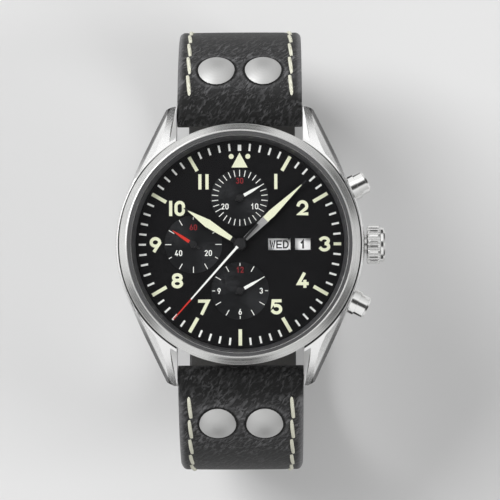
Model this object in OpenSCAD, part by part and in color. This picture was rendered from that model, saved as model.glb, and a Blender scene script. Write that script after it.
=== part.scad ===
// Pilot style chronograph wristwatch with a closed, buckled leather strap.
// Frame: +Z out of the dial, +Y to 12 o'clock, +X to 3 o'clock and the crown.
// The origin is on the dial's axis, in the flat outer face of the case back. Millimetres.

/* [Case] */
// Diameter of the case middle
case_d = 43; // [42.6:0.1:44.5]
// Thickness of the screwed case back
back_t = 1.0; // [0.8:0.1:1.3]
// Width of the lip on which the back's flange seats
back_seat_w = 0.8; // [0.6:0.1:1.0]
// How far the case back stands below the case middle
back_proud = 0.5; // [0.3:0.1:0.6]
// Number of key notches in the back's rim
back_notches = 6; // [4:1:8]
// Width of the rounded shoulder around the bezel
bezel_step = 0.8; // [0.6:0.1:1.0]
// Height of the rounded shoulder
shoulder_h = 2.1; // [1.6:0.1:2.6]

/* [Lugs and spring bars] */
// Distance between the lugs, where the strap fits
lug_gap = 22; // [20:0.5:23]
// Overall length from lug tip to lug tip
lug_to_lug = 49; // [48:0.5:51]
// Angle of the normal of a lug's flank from the 3 o'clock axis
lug_flank_angle = 24.6; // [22:0.2:27]
// Radius of the long curve along a lug's back
lug_back_r = 24.6; // [23:0.2:27]
// Plan angle of the polished chamfer along a lug's outer edge
lug_chamfer_angle = 50; // [47:0.5:53]
// Radius of the chamfer's curve, seen from the side
lug_chamfer_r = 36.3; // [34:0.1:40]
// Slope of the chamfer at its upper end
lug_chamfer_slope = 51.5; // [49:0.5:54]
// How far the chamfer's upper end lies inside the case's edge
lug_chamfer_w = 1.35; // [1.0:0.05:1.6]
// Distance of the spring bar inside the lug tip
bar_inset = 1.6; // [1.4:0.1:2.0]
// Height of the spring bar above the case back
bar_z = 2.6; // [2.4:0.1:3.0]
// Diameter of the spring bar
bar_d = 1.8; // [1.5:0.1:2.0]
// Diameter of a spring bar's end pivot
bar_pivot_d = 1.0; // [0.8:0.1:1.1]

/* [Bezel, crystal and dial] */
// Height of the bezel
bezel_h = 2.3; // [2.0:0.1:2.6]
// Height of the sloped flange between dial and crystal
flange_h = 2.2; // [2.1:0.1:2.6]
// Edge thickness of the crystal
crystal_t = 1.4; // [1.2:0.1:1.8]
// Rise of the crystal's dome
crystal_dome = 1.0; // [0.6:0.1:1.2]
// Diameter of the dial
dial_d = 37.3; // [37.0:0.1:37.5]
// Thickness of the dial
dial_t = 0.4; // [0.3:0.05:0.5]
// Distance of each sub-dial's centre from the dial's centre
sub_r = 8.0; // [7.9:0.1:8.2]
// Diameter of a sub-dial
sub_d = 10.0; // [9.2:0.2:10.4]
// Depth of a sub-dial's recess
sub_depth = 0.1; // [0.05:0.05:0.15]
// Height of the day and date windows
window_h = 2.0; // [1.6:0.1:2.2]

/* [Hands] */
// Length of the hour hand
hour_len = 11.5; // [10:0.5:12.5]
// Greatest width of the hour hand
hour_w = 1.56; // [1.2:0.04:1.8]
// Length of the minute hand
minute_len = 15.8; // [14:0.2:16.6]
// Greatest width of the minute hand
minute_w = 1.44; // [1.0:0.04:1.6]
// Length of the centre chronograph hand
chrono_len = 17.2; // [15:0.2:17.4]
// Length of the chronograph hand's tail
chrono_tail = 4.6; // [3.4:0.2:5.4]
// Length of the hands of the sub-dials
sub_hand_len = 4.3; // [3.8:0.1:4.6]
// Thickness of a hand
hand_t = 0.16; // [0.12:0.02:0.2]
// Clock angle of the hour hand, in degrees from 12
hour_at = 303; // [0:1:359]
// Clock angle of the minute hand
minute_at = 46.4; // [0:0.1:359]
// Clock angle of the chronograph hand
chrono_at = 221.6; // [0:0.1:359]
// Clock angle of the small seconds hand
seconds_at = 304; // [0:1:359]
// Clock angle of the two counter hands
counter_at = 60.5; // [0:0.5:359]

/* [Crown and pushers] */
// Diameter of the crown
crown_d = 6.9; // [6:0.1:7.2]
// Length of the crown's fluted body
crown_len = 2.4; // [2.1:0.1:2.8]
// Number of flutes on the crown
crown_flutes = 22; // [16:1:28]
// Length that the crown pulls out
crown_pull = 1.2; // [0.8:0.1:1.4]
// Diameter of the winding stem
stem_d = 1.2; // [1.0:0.1:1.3]
// Angle of each pusher's axis from the 3 o'clock axis
pusher_angle = 26.6; // [25.6:0.1:27.4]
// Diameter of a pusher's cap
pusher_d = 3.9; // [3.5:0.1:4.0]
// Distance that a pusher stands out of the case
pusher_out = 3.1; // [2.8:0.1:3.4]
// Travel of a pusher
pusher_travel = 1.0; // [0.8:0.1:1.0]

/* [Movement] */
// Diameter of the movement
movement_d = 32; // [31.8:0.1:32.4]
// Height of the rotor's heavy rim
rotor_t = 1.15; // [1.0:0.05:1.2]
// Gap below the rotor
rotor_gap = 0.45; // [0.4:0.05:0.6]
// Thickness of the automatic bridge
auto_bridge_t = 0.4; // [0.35:0.05:0.5]
// Height of the space for the chronograph works
chrono_h = 1.0; // [1.0:0.05:1.2]
// Thickness of the train bridge
bridge_t = 0.5; // [0.45:0.05:0.6]
// Height of the space for the going train
train_h = 2.3; // [2.3:0.05:2.5]
// Thickness of the mainplate
plate_t = 1.2; // [1.1:0.05:1.4]
// Height of the space for the calendar under the dial
calendar_h = 1.1; // [1.05:0.05:1.2]
// Diameter of a wheel's arbor
arbor_d = 0.4; // [0.34:0.02:0.4]

/* [Strap] */
// Thickness of the strap
strap_t = 3.0; // [2.6:0.1:3.2]
// Thickness of the strap where it wraps the spring bar
strap_end_t = 4.2; // [3.8:0.1:4.4]
// Width of the strap at the buckle
buckle_w = 20; // [18:0.5:20]
// Length of the strap half that carries the holes
long_strap_len = 120; // [112:1:122]
// Slope of the strap where it leaves the spring bar
strap_slope = 16; // [14:0.5:20]
// Radius of the strap's bend beside the case
strap_r1 = 21; // [20:0.5:22]
// Radius of the strap's bend above the buckle
strap_r2 = 20; // [19:0.5:21]
// Diameter of a rivet's domed head
rivet_d = 6.55; // [5.8:0.1:6.8]
// Distance between the two rivets of a strap half
rivet_pitch = 8.2; // [7.8:0.1:9.5]
// Distance of the rivets from the dial's centre, along 12 to 6
rivet_y = 30.8; // [30:0.2:32]

/* [Buckle and keepers] */
// Thickness of the keepers' leather
keeper_t = 0.9; // [0.7:0.1:1.1]
// Width of a keeper along the strap
keeper_w = 4.6; // [4:0.2:5]
// Width of a buckle's side arm
buckle_arm_w = 2.2; // [1.8:0.1:2.6]
// Length from the buckle bar to the cross bar's middle
buckle_len = 10.7; // [10:0.1:11.5]
// Diameter of the buckle's bar
buckle_bar_d = 1.5; // [1.2:0.1:1.6]
// Width of the tongue
tongue_w = 1.7; // [1.4:0.1:2.0]

/* [Clearances] */
// Radial clearance of a running fit
run = 0.04; // [0.03:0.005:0.06]
// Clearance between pieces that are fitted but don't turn
fit = 0.05; // [0.03:0.01:0.06]

/* [Hidden] */
fine = 128;
small = 32;
eps = 0.01;
// How far a cutter runs past the piece that it cuts
through = 1;

// Radii of the case, from the outside in
case_r = case_d / 2;
bezel_r = case_r - bezel_step;
tenon_r = bezel_r - 0.9;
foot_r = tenon_r + 0.4;
dial_r = dial_d / 2;
bore_r = dial_r + 2 * fit;
lip_r = dial_r - 0.35;
view_r = lip_r - 0.35;
crystal_r = dial_r + 0.05;
gasket_w = 0.5;
seat_r = crystal_r + fit + gasket_w;
back_seat_r = bore_r + fit + back_seat_w;
back_r = back_seat_r - 2 * fit;
movement_r = movement_d / 2;
train_r = movement_r - 1.5;
calendar_r = movement_r - 0.75;

// Levels, from the case back up
rotor_z0 = back_t + rotor_gap;
rotor_z1 = rotor_z0 + rotor_t;
auto_z0 = rotor_z1 + 0.2;
auto_z1 = auto_z0 + auto_bridge_t;
bridge_z0 = auto_z1 + chrono_h;
bridge_z1 = bridge_z0 + bridge_t;
plate_z0 = bridge_z1 + train_h;
plate_z1 = plate_z0 + plate_t;
dial_z0 = plate_z1 + calendar_h;
dial_z1 = dial_z0 + dial_t;
lip_t = 0.5;
tenon_h = 0.65;
case_top = dial_z1 + lip_t + tenon_h + fit;
shoulder_z = case_top - 0.4;
ledge_z = dial_z1 + flange_h;
bezel_top = case_top + bezel_h;
stem_z = bridge_z1 + 1.3;
body_z0 = back_proud;

// Levels of the wheels in the going train: C is low, A is high
level_c = bridge_z1 + 0.4;
level_b = bridge_z1 + 1.05;
level_a = bridge_z1 + 1.6;
wheel_t = 0.3;
chrono_z = auto_z1 + 0.3;

// Levels of the hands
sub_hand_z = dial_z1 + 0.2;
hour_z = dial_z1 + 0.5;
minute_z = dial_z1 + 0.9;
chrono_hand_z = dial_z1 + 1.3;

// Where the hour and minute hands are widest, as a share of their length
hour_widest = 0.574;
minute_widest = 0.481;
// Width of those hands at the hub, as a share of their greatest width
hand_root = 0.52;
hand_hub_w = 0.35;

// Lugs and bars
lug_reach = lug_to_lug / 2;
bar_y = lug_reach - bar_inset;
lug_back_y = 12;
lug_back_z = case_top - 0.5;
lug_back_slope = 12;
lug_back_c = [
    lug_back_y - lug_back_r * sin(lug_back_slope),
    lug_back_z - lug_back_r * cos(lug_back_slope)
];
pivot_len = 0.8;

// Strap path
strap_h = strap_t / 2;
bend_1 = [bar_y - strap_r1 * sin(strap_slope), bar_z - strap_r1 * cos(strap_slope)];
flat_y = bend_1[0] + strap_r1 - strap_r2;
bend_2 = [flat_y, bend_1[1]];
flat_z = bend_2[1] - strap_r2;
len_1 = strap_r1 * (90 - strap_slope) * PI / 180;
len_2 = strap_r2 * 90 * PI / 180;
end_taper = 14;
fold_r = strap_h + 0.2;
tail_lift = fold_r + strap_h + 0.1;
tail_end = flat_y - (long_strap_len - len_1 - len_2);

// Buckle
buckle_y = 1.0;
foot_z = flat_z - tail_lift - strap_h - 0.1 - keeper_t;
cross_bar_h = 3.0;
cross_bar_l = 3.0;
cross_y = buckle_y - buckle_len;
cross_z = foot_z + cross_bar_h / 2;
tongue_t = 1.1;
tongue_eye_r = buckle_bar_d / 2 + run + 0.55;
tongue_tip = [cross_y - 0.7, foot_z + 0.25 + tongue_t / 2];
frame_in = buckle_w / 2 + 0.3;
frame_out = frame_in + buckle_arm_w;
keeper_gap = 0.12;
fixed_keeper_y = buckle_y + 4.2;
free_keeper_y = fixed_keeper_y + keeper_w + 1.4;

// Places of the wheels, seen from the dial
barrel_at = [4.4, 4.7];
second_at = [-1.0, 4.0];
third_at = [-4.7, 2.35];
fourth_at = [-sub_r, 0];
escape_at = [-sub_r - 1.3, -3.4];
balance_at = [-4.6, -9.2];
minute_wheel_at = [-1.75, 1.64];
day_at = [movement_r - 6.05, 0];
day_r = calendar_r - 0.1 - day_at[0];
start_pivot = [9.6, 9.0];
setting_pivot = [12.2, -3.2];

// Tooth counts
barrel_n = 72;
second_n = [64, 12];
third_n = [60, 8];
fourth_n = [84, 8];
escape_n = [20, 7];
cannon_n = 12;
minute_n = [36, 10];
hour_n = 40;

counter_arbor_r = 0.25;
cannon_bore_r = counter_arbor_r + run;
cannon_r = cannon_bore_r + 0.2;
hour_tube_r = cannon_r + run + 0.25;
rotor_post_r = 1.1;
day_post_r = 0.4;

// General shapes

module spin(points) {
    rotate_extrude($fn = fine) polygon(points);
}

module ring(r_out, r_in, z0, z1) {
    translate([0, 0, z0]) difference() {
        cylinder(r = r_out, h = z1 - z0, $fn = fine);
        translate([0, 0, -eps]) cylinder(r = r_in, h = z1 - z0 + 2 * eps, $fn = fine);
    }
}

module rod(r, z0, z1) {
    translate([0, 0, z0]) cylinder(r = r, h = z1 - z0, $fn = small);
}

module at(p) {
    translate([p[0], p[1], 0]) children();
}

module slab(z0, z1) {
    translate([0, 0, z0]) linear_extrude(z1 - z0) children();
}

// Turns a profile drawn in Y and Z into a solid that runs along X
module along_x(width) {
    rotate([90, 0, 90]) linear_extrude(width, center = true) children();
}

// Points an axis that is built along +Z outwards along X, at the stem's height
module out_along(angle) {
    rotate([0, 0, angle]) translate([0, 0, stem_z]) rotate([0, 90, 0]) children();
}

// A bar with round ends from point p to point q
module bar_2d(p, q, w) {
    d = q - p;
    translate(p) circle(d = w, $fn = small);
    translate(q) circle(d = w, $fn = small);
    translate(p) rotate(atan2(d[1], d[0])) translate([0, -w / 2]) square([norm(d), w]);
}

function arc(c, r, a0, a1, n) =
    [for (i = [0:n]) let (a = a0 + (a1 - a0) * i / n) c + r * [cos(a), sin(a)]];

function smooth(t) = let (u = max(0, min(1, t))) u * u * (3 - 2 * u);

// Clock angle, in degrees from 12, to an angle from 3 o'clock
function clock(a) = 90 - a;

// Gears

function direction(p, q) = atan2(q[1] - p[1], q[0] - p[0]);
function gear_module(p, q, n1, n2) = 2 * norm(q - p) / (n1 + n2);

// Phase of the second gear that puts its gap on the first one's tooth
function mesh_phase(angle, n1, phase_1, n2) =
    angle + 180 - (phase_1 - angle) * n1 / n2 + 180 / n2;

function tooth(n, m, i) =
    let (
        pitch = 360 / n,
        a = pitch * i,
        root = m * n / 2 - 1.2 * m,
        tip = m * n / 2 + 0.9 * m
    ) [
        root * [cos(a - 0.31 * pitch), sin(a - 0.31 * pitch)],
        tip * [cos(a - 0.12 * pitch), sin(a - 0.12 * pitch)],
        tip * [cos(a + 0.12 * pitch), sin(a + 0.12 * pitch)],
        root * [cos(a + 0.31 * pitch), sin(a + 0.31 * pitch)]
    ];

module gear_2d(n, m, phase) {
    rotate(phase) polygon([for (i = [0:n - 1]) each tooth(n, m, i)]);
}

// A wheel with a rim, a hub and spokes
module wheel_2d(n, m, phase, hub_r, spokes) {
    rim_r = m * n / 2 - 1.2 * m - 0.35;
    difference() {
        gear_2d(n, m, phase);
        difference() {
            circle(r = rim_r, $fn = small);
            circle(r = hub_r, $fn = small);
            for (i = [0:spokes - 1]) {
                rotate(360 * i / spokes) translate([0, -0.18]) square([rim_r + 0.1, 0.36]);
            }
        }
    }
}

// Modules and phases of the trains
m_barrel = gear_module(barrel_at, second_at, barrel_n, second_n[1]);
m_second = gear_module(second_at, third_at, second_n[0], third_n[1]);
m_third = gear_module(third_at, fourth_at, third_n[0], fourth_n[1]);
m_fourth = gear_module(fourth_at, escape_at, fourth_n[0], escape_n[1]);
m_cannon = gear_module([0, 0], minute_wheel_at, cannon_n, minute_n[0]);
m_hour = gear_module([0, 0], minute_wheel_at, hour_n, minute_n[1]);
m_driving = gear_module(minute_wheel_at, second_at, minute_n[0], cannon_n);
third_phase = mesh_phase(direction(fourth_at, third_at), fourth_n[1], 0, third_n[0]);
second_phase = mesh_phase(direction(third_at, second_at), third_n[1], 0, second_n[0]);
barrel_phase = mesh_phase(direction(second_at, barrel_at), second_n[1], 0, barrel_n);
escape_phase = mesh_phase(direction(fourth_at, escape_at), fourth_n[0], 0, escape_n[1]);
minute_phase = mesh_phase(direction([0, 0], minute_wheel_at), cannon_n, 0, minute_n[0]);
hour_phase = mesh_phase(direction(minute_wheel_at, [0, 0]), minute_n[1], 0, hour_n);
driving_phase =
    mesh_phase(direction(minute_wheel_at, second_at), minute_n[0], minute_phase, cannon_n);

// Case

// How far a lug's flank stands proud of the case's edge
flank_proud = 0.03;

module lug_plan() {
    n = [cos(lug_flank_angle), sin(lug_flank_angle)];
    t = [-sin(lug_flank_angle), cos(lug_flank_angle)];
    touch = (case_r + flank_proud) * n;
    corner = touch + (lug_reach - 2.6 - touch[1]) / t[1] * t;
    polygon([
        [lug_gap / 2, 12],
        [lug_gap / 2, lug_reach - 0.15],
        [lug_gap / 2 + 0.3, lug_reach],
        [corner[0] - 0.9, lug_reach - 0.75],
        [corner[0] - 0.25, lug_reach - 1.6],
        corner,
        touch,
        [12, 3]
    ]);
}

module lug_side() {
    tip = [lug_reach - 1.7, bar_z - 0.15];
    polygon(concat(
        [[4, body_z0 + 0.1], [4, case_top - 0.5]],
        arc(lug_back_c, lug_back_r, 90 - lug_back_slope + 2, 45.6, 14),
        arc(tip, 1.7, 25, -100, 8),
        [[lug_reach - 8, body_z0 + 0.1]]
    ));
}

// The narrow polished chamfer that follows a lug's outer edge
module lug_chamfer() {
    top = [case_r - lug_chamfer_w, lug_back_z];
    centre = top - lug_chamfer_r * [cos(lug_chamfer_slope), sin(lug_chamfer_slope)];
    rotate([0, 0, lug_chamfer_angle]) translate([centre[0], 0, centre[1]])
        rotate([90, 0, 0]) cylinder(r = lug_chamfer_r, h = 120, center = true, $fn = 256);
}

// The case's shoulder runs on along the lug's flank
module lug_shoulder() {
    rotate([0, 0, lug_flank_angle]) rotate([90, 0, 0]) linear_extrude(120, center = true)
        translate([flank_proud, lug_back_z - shoulder_z]) polygon(concat(
            [[-lug_reach, 0], [case_r, 0]], shoulder_2d, [[-lug_reach, shoulder_z]]
        ));
}

// Height of a lug's back over the middle line of the dial
function lug_top(y) = lug_back_c[1] + sqrt(pow(lug_back_r, 2) - pow(y - lug_back_c[0], 2));

// Inner facet along the strap's gap: two places (y, width) give its fall
facet_at = [[17, 1.22], [23, 0.3]];
module lug_inner_facet() {
    z = [for (p = facet_at) lug_top(p[0]) - p[1]];
    fall = atan((z[0] - z[1]) / (facet_at[1][0] - facet_at[0][0]));
    translate([lug_gap / 2, facet_at[0][0], z[0]]) rotate([-fall, 0, 0]) rotate([90, 0, 0])
        linear_extrude(80, center = true) polygon([[-1, -1], [4, 4], [4, 12], [-1, 12]]);
}

// What is cut off the case above a lug, so that the lug's back runs on to the bezel's foot
above_lug_h = 5;
above_lug_gap = 0.02;
module above_lug() {
    difference() {
        slab(shoulder_z - above_lug_h, case_top + through) lug_plan();
        along_x(80) translate([0, above_lug_gap]) lug_side();
        cylinder(r = foot_r, h = 20, $fn = fine);
    }
}

module lug() {
    difference() {
        intersection() {
            slab(0, case_top) lug_plan();
            along_x(80) lug_side();
            lug_chamfer();
            lug_shoulder();
        }
        lug_inner_facet();
        // Blind hole for the spring bar's pivot
        translate([lug_gap / 2 - eps, bar_y, bar_z]) rotate([0, 90, 0])
            cylinder(d = bar_pivot_d + 2 * fit, h = pivot_len + 0.2, $fn = small);
    }
}

// The case's rounded shoulder, from its flank up to the bezel's foot
shoulder_w = case_r - bezel_r - 0.2;
shoulder_2d = [for (a = [0:15:90]) [
    case_r - shoulder_w * (1 - cos(a)),
    shoulder_z - shoulder_h * (1 - sin(a))
]];

module mid_case() {
    color("silver") difference() {
        union() {
            spin(concat(
                [[back_seat_r, body_z0], [back_seat_r + 0.35, body_z0]],
                [[case_r - 0.55, body_z0 + 0.8], [case_r - 0.15, body_z0 + 1.7]],
                [[case_r, body_z0 + 2.7]],
                shoulder_2d,
                [[foot_r, shoulder_z], [foot_r, case_top]],
                [[tenon_r + fit, case_top], [tenon_r + fit, case_top - tenon_h - fit]],
                [[lip_r, dial_z1 + lip_t], [lip_r, dial_z1]],
                [[bore_r, dial_z1], [bore_r, back_t], [back_seat_r, back_t]]
            ));
            difference() {
                for (x = [0, 1], y = [0, 1]) mirror([x, 0, 0]) mirror([0, y, 0]) lug();
                translate([0, 0, -1]) cylinder(r = bezel_r - 0.3, h = 20, $fn = fine);
            }
        }
        // Seat of the crown tube
        out_along(0) cylinder(r = crown_tube_r, h = case_r + 2, $fn = 64);
        // Seats of the pusher tubes
        for (s = [-1, 1]) out_along(s * pusher_angle) {
            cylinder(r = pusher_tube_r, h = case_r + 2, $fn = 64);
            translate([0, 0, collar_floor]) cylinder(r = collar_r, h = 4, $fn = 64);
        }
        for (x = [0, 1], y = [0, 1]) mirror([x, 0, 0]) mirror([0, y, 0]) above_lug();
        // Between the lugs the case ends flush with the bezel
        difference() {
            cube([lug_gap, 80, 40], center = true);
            translate([0, 0, -25]) cylinder(r = bezel_r - fit, h = 50, $fn = fine);
        }
        // Relief for the round ends of the strap, between the lugs
        for (y = [-bar_y, bar_y]) translate([0, y, bar_z]) rotate([0, 90, 0])
            cylinder(d = strap_end_t + 0.2, h = lug_gap, center = true, $fn = 64);
        // Groove of the back's gasket
        ring(bore_r + 0.62, bore_r + 0.22, back_t - eps, back_t + 0.3);
    }
}

module bezel() {
    color("gainsboro") spin([
        [bezel_r, case_top], [bezel_r, case_top + 0.6], [bezel_r - 0.12, case_top + 0.85],
        [seat_r + 0.3, bezel_top - 0.06], [seat_r + 0.12, bezel_top], [seat_r, bezel_top - 0.1],
        [seat_r, ledge_z], [crystal_r - 0.1, ledge_z], [crystal_r - 0.1, case_top - tenon_h],
        [tenon_r, case_top - tenon_h], [tenon_r, case_top]
    ]);
}

module crystal() {
    low = 0.4;
    edge = ledge_z + crystal_t;
    big = (crystal_r * crystal_r + crystal_dome * crystal_dome) / (2 * crystal_dome);
    under = (crystal_r * crystal_r + low * low) / (2 * low);
    color([0.8, 0.9, 1, 0.35]) spin(concat(
        [for (i = [0:12]) let (r = crystal_r * (1 - i / 12))
            [r, ledge_z + low - under + sqrt(under * under - r * r)]],
        [for (i = [0:14]) let (r = (crystal_r - 0.15) * i / 14)
            [r, edge + crystal_dome - big + sqrt(big * big - r * r)]],
        [[crystal_r, edge - 0.1]]
    ));
}

module crystal_gasket() {
    color("dimgray") ring(crystal_r + fit + gasket_w - 0.02, crystal_r + 0.02, ledge_z,
        ledge_z + crystal_t - 0.3);
}

module dial_flange() {
    color("#1b1c1e") spin([
        [view_r, dial_z1], [lip_r - fit, dial_z1], [lip_r - fit, dial_z1 + lip_t + fit],
        [crystal_r - 0.15, dial_z1 + lip_t + fit], [crystal_r - 0.15, ledge_z - 0.02],
        [crystal_r - 0.3, ledge_z - 0.02]
    ]);
}

module windows_2d() {
    day_x = [4.87, 8.69];
    date_x = [9.5, 12.13];
    for (w = [day_x, date_x]) translate([w[0], -window_h / 2]) square([w[1] - w[0], window_h]);
}

module sub_places() {
    for (p = [[0, sub_r], [-sub_r, 0], [0, -sub_r]]) at(p) children();
}

module dial() {
    color("#141517") difference() {
        union() {
            rod_fine(dial_r, dial_z0, dial_z1);
            // Feet that hold the dial in the movement ring
            for (a = [50, 230]) rotate(a) at([movement_r + 1.2, 0]) rod(0.4, dial_z0 - 1.2, dial_z0 + eps);
        }
        rod(hour_tube_r + 0.25, dial_z0 - 1, dial_z1 + 1);
        sub_places() {
            rod(counter_arbor_r + 0.15, dial_z0 - 1, dial_z1 + 1);
            rod_fine(sub_d / 2, dial_z1 - sub_depth, dial_z1 + 1);
        }
        slab(dial_z0 - 1, dial_z1 + 1) windows_2d();
    }
}

module rod_fine(r, z0, z1) {
    translate([0, 0, z0]) cylinder(r = r, h = z1 - z0, $fn = fine);
}

// Notches for the opening key: along the rim, inwards and deep
notch_w = 2.4;
notch_in = 1.3;
notch_deep = 0.5;
// Chamfer of the back's rim, and the threaded spigot inside it
back_chamfer = 0.35;
spigot_h = 1.4;
spigot_w = 0.55;

module case_back() {
    spigot_r = bore_r - 2 * fit;
    color("silver") difference() {
        spin([
            [0, 0], [back_r - back_chamfer, 0], [back_r, back_chamfer], [back_r, back_t],
            [spigot_r, back_t], [spigot_r, back_t + spigot_h],
            [spigot_r - spigot_w, back_t + spigot_h], [spigot_r - spigot_w, back_t], [0, back_t]
        ]);
        // Notches for the opening key
        for (i = [0:back_notches - 1]) rotate(360 / back_notches * (i + 0.5))
            translate([back_r - notch_in, -notch_w / 2, -eps])
                cube([2 * notch_in, notch_w, notch_deep]);
    }
}

module case_back_gasket() {
    color("black") ring(bore_r + 0.6, bore_r + 0.24, back_t, back_t + 0.28);
}

module movement_ring() {
    color("darkgray") difference() {
        spin([
            [movement_r + fit, bridge_z0], [movement_r + 1.65, bridge_z0],
            [movement_r + 1.65, back_t + 1.45], [dial_r, back_t + 1.45],
            [dial_r, dial_z0], [movement_r + fit, dial_z0]
        ]);
        for (a = [50, 230]) rotate(a) at([movement_r + 1.2, 0]) rod(0.45, dial_z0 - 1.4, dial_z0 + 1);
        out_along(0) cylinder(r = crown_tube_r + 0.2, h = case_r, $fn = 64);
        for (s = [-1, 1]) out_along(s * pusher_angle)
            cylinder(r = pusher_rod_r + 0.75, h = case_r, $fn = 64);
        for (a = clamp_angles) rotate(a) at([movement_r + 0.7, 0])
            rod(0.5, bridge_z0 - 1, bridge_z0 + 1.4);
    }
}

clamp_angles = [80, 200, 320];

module casing_clamps() {
    color("silver") for (a = clamp_angles) rotate(a) {
        difference() {
            slab(bridge_z0 - 0.4, bridge_z0 - 0.02)
                bar_2d([movement_r - 1.0, 0], [movement_r + 0.7, 0], 1.3);
            at([movement_r + 0.7, 0]) rod(0.5, bridge_z0 - 2, bridge_z0 + 1);
        }
        at([movement_r + 0.7, 0]) difference() {
            union() {
                rod(0.48, bridge_z0 - 0.45, bridge_z0 + 1.3);
                rod(0.85, bridge_z0 - 0.8, bridge_z0 - 0.42);
            }
            slab(bridge_z0 - 1, bridge_z0 - 0.65) square([0.22, 2], center = true);
        }
    }
}

// Crown and stem

stem_r = stem_d / 2;
crown_tube_r = 1.5;
crown_x0 = case_r + 0.36;
crown_end_t = 0.75;
crown_recess = 1.9;
tube_out = 1.3;

module crown_tube() {
    color("silver") out_along(0) difference() {
        union() {
            translate([0, 0, bore_r + 0.1])
                cylinder(r = crown_tube_r, h = case_r + tube_out - bore_r - 0.1, $fn = 64);
        }
        cylinder(r = stem_r + 0.35, h = 30, $fn = 64);
    }
}

module crown_gasket() {
    color("black") out_along(0) translate([0, 0, case_r - 1.2]) difference() {
        cylinder(r = stem_r + 0.32, h = 0.5, $fn = small);
        translate([0, 0, -eps]) cylinder(r = stem_r + 0.03, h = 1, $fn = small);
    }
}

module crown() {
    r = crown_d / 2;
    color("gainsboro") out_along(0) translate([0, 0, crown_x0]) difference() {
        union() {
            intersection() {
                linear_extrude(crown_len) difference() {
                    circle(r = r, $fn = fine);
                    for (i = [0:crown_flutes - 1]) rotate(360 * i / crown_flutes)
                        translate([r + 0.05, 0]) circle(r = 0.3, $fn = 16);
                }
                spin([
                    [0, 0], [r - 0.5, 0], [r - 0.16, 0.16], [r, 0.5], [r, crown_len - 0.5],
                    [r - 0.16, crown_len - 0.16], [r - 0.5, crown_len], [0, crown_len]
                ]);
            }
            spin([
                [0, crown_len - eps], [r - 0.45, crown_len - eps], [r - 0.45, crown_len + 0.45],
                [r - 0.75, crown_len + crown_end_t], [0, crown_len + crown_end_t]
            ]);
        }
        translate([0, 0, -1]) cylinder(r = crown_tube_r + 0.2, h = crown_recess + 1, $fn = 64);
    }
}

module winding_stem() {
    groove_x = setting_pivot[0] - 0.45;
    inner = 9.0;
    color("silver") out_along(0) difference() {
        union() {
            translate([0, 0, inner])
                cylinder(r = stem_r, h = crown_x0 + crown_recess - inner, $fn = small);
            // Sliding pinion
            translate([0, 0, inner + 0.2]) linear_extrude(1.0) gear_2d(12, 0.13, 0);
        }
        // Groove in which the setting lever's pin rides
        translate([0, 0, groove_x]) difference() {
            cylinder(r = stem_r + 0.2, h = 0.9, $fn = small);
            cylinder(r = stem_r - 0.25, h = 0.9, $fn = small);
        }
    }
}

// Pushers

pusher_r = pusher_d / 2;
pusher_rod_r = 0.7;
pusher_tube_r = 1.7;
collar_r = pusher_r + fit + 0.2;
collar_out = 1.2;
cap_end = case_r + pusher_out;
cap_start = case_r + 0.1 + pusher_travel - 0.35;
recess_floor = case_r - 0.3;
collar_floor = case_r - 0.6;
spring_floor = case_r - 2.0;
rod_end = train_r - 0.5;

module pusher_tubes() {
    color("gainsboro") for (s = [-1, 1]) out_along(s * pusher_angle) difference() {
        union() {
            translate([0, 0, bore_r + 0.15])
                cylinder(r = pusher_tube_r, h = collar_floor - bore_r, $fn = 64);
            translate([0, 0, collar_floor])
                cylinder(r = collar_r, h = case_r + collar_out - collar_floor, $fn = 64);
        }
        cylinder(r = pusher_rod_r + run, h = 40, $fn = 64);
        translate([0, 0, spring_floor]) cylinder(r = pusher_rod_r + 0.6, h = 20, $fn = 64);
        translate([0, 0, recess_floor]) cylinder(r = pusher_r + fit, h = 20, $fn = 64);
    }
}

module pusher(s) {
    color("gainsboro") out_along(s * pusher_angle) {
        translate([0, 0, cap_start]) rotate_extrude($fn = 64) polygon([
            [0, 0], [pusher_r - 0.15, 0], [pusher_r, 0.15], [pusher_r, cap_end - cap_start - 0.35],
            [pusher_r - 0.35, cap_end - cap_start], [0, cap_end - cap_start]
        ]);
        translate([0, 0, rod_end])
            cylinder(r = pusher_rod_r, h = cap_start - rod_end + eps, $fn = 64);
        // Clip that stops the pusher from leaving the case
        translate([0, 0, bore_r - 0.25]) cylinder(r = pusher_rod_r + 0.55, h = 0.2, $fn = 64);
    }
}

module start_pusher() {
    pusher(1);
}

module reset_pusher() {
    pusher(-1);
}

// Coil spring around a pusher's rod, as a swept square wire
module coil_spring(r, wire, length, turns) {
    steps = 10;
    count = turns * steps;
    h = wire / 2;
    pts = [for (i = [0:count]) let (a = 360 * i / steps, z = wire + (length - 2 * wire) * i / count)
        each [for (c = [[-h, -h], [h, -h], [h, h], [-h, h]])
            [(r + c[0]) * cos(a), (r + c[0]) * sin(a), z + c[1]]]];
    sides = [for (i = [0:count - 1], k = [0:3]) let (a = 4 * i + k, b = 4 * i + (k + 1) % 4)
        each [[a, b, b + 4], [a, b + 4, a + 4]]];
    last = 4 * count;
    polyhedron(pts, concat([for (f = sides) [f[2], f[1], f[0]]],
        [[0, 1, 2], [0, 2, 3], [last + 2, last + 1, last], [last + 3, last + 2, last]]));
}

module pusher_spring(s) {
    length = cap_start - spring_floor - 0.04;
    color("silver") out_along(s * pusher_angle) translate([0, 0, spring_floor + 0.02])
        coil_spring(pusher_rod_r + 0.3, 0.2, length, 4);
}

module start_pusher_spring() {
    pusher_spring(1);
}

module reset_pusher_spring() {
    pusher_spring(-1);
}

// Hands

// A sword shaped hand, narrow at the hub and with a blunt point
module sword_2d(from, widest_at, length, width) {
    root = hand_root * width / 2;
    wide = width / 2;
    polygon([
        [from, -root], [from, root], [widest_at, wide], [length - 0.15, 0.1], [length, 0],
        [length - 0.15, -0.1], [widest_at, -wide]
    ]);
}

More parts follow.
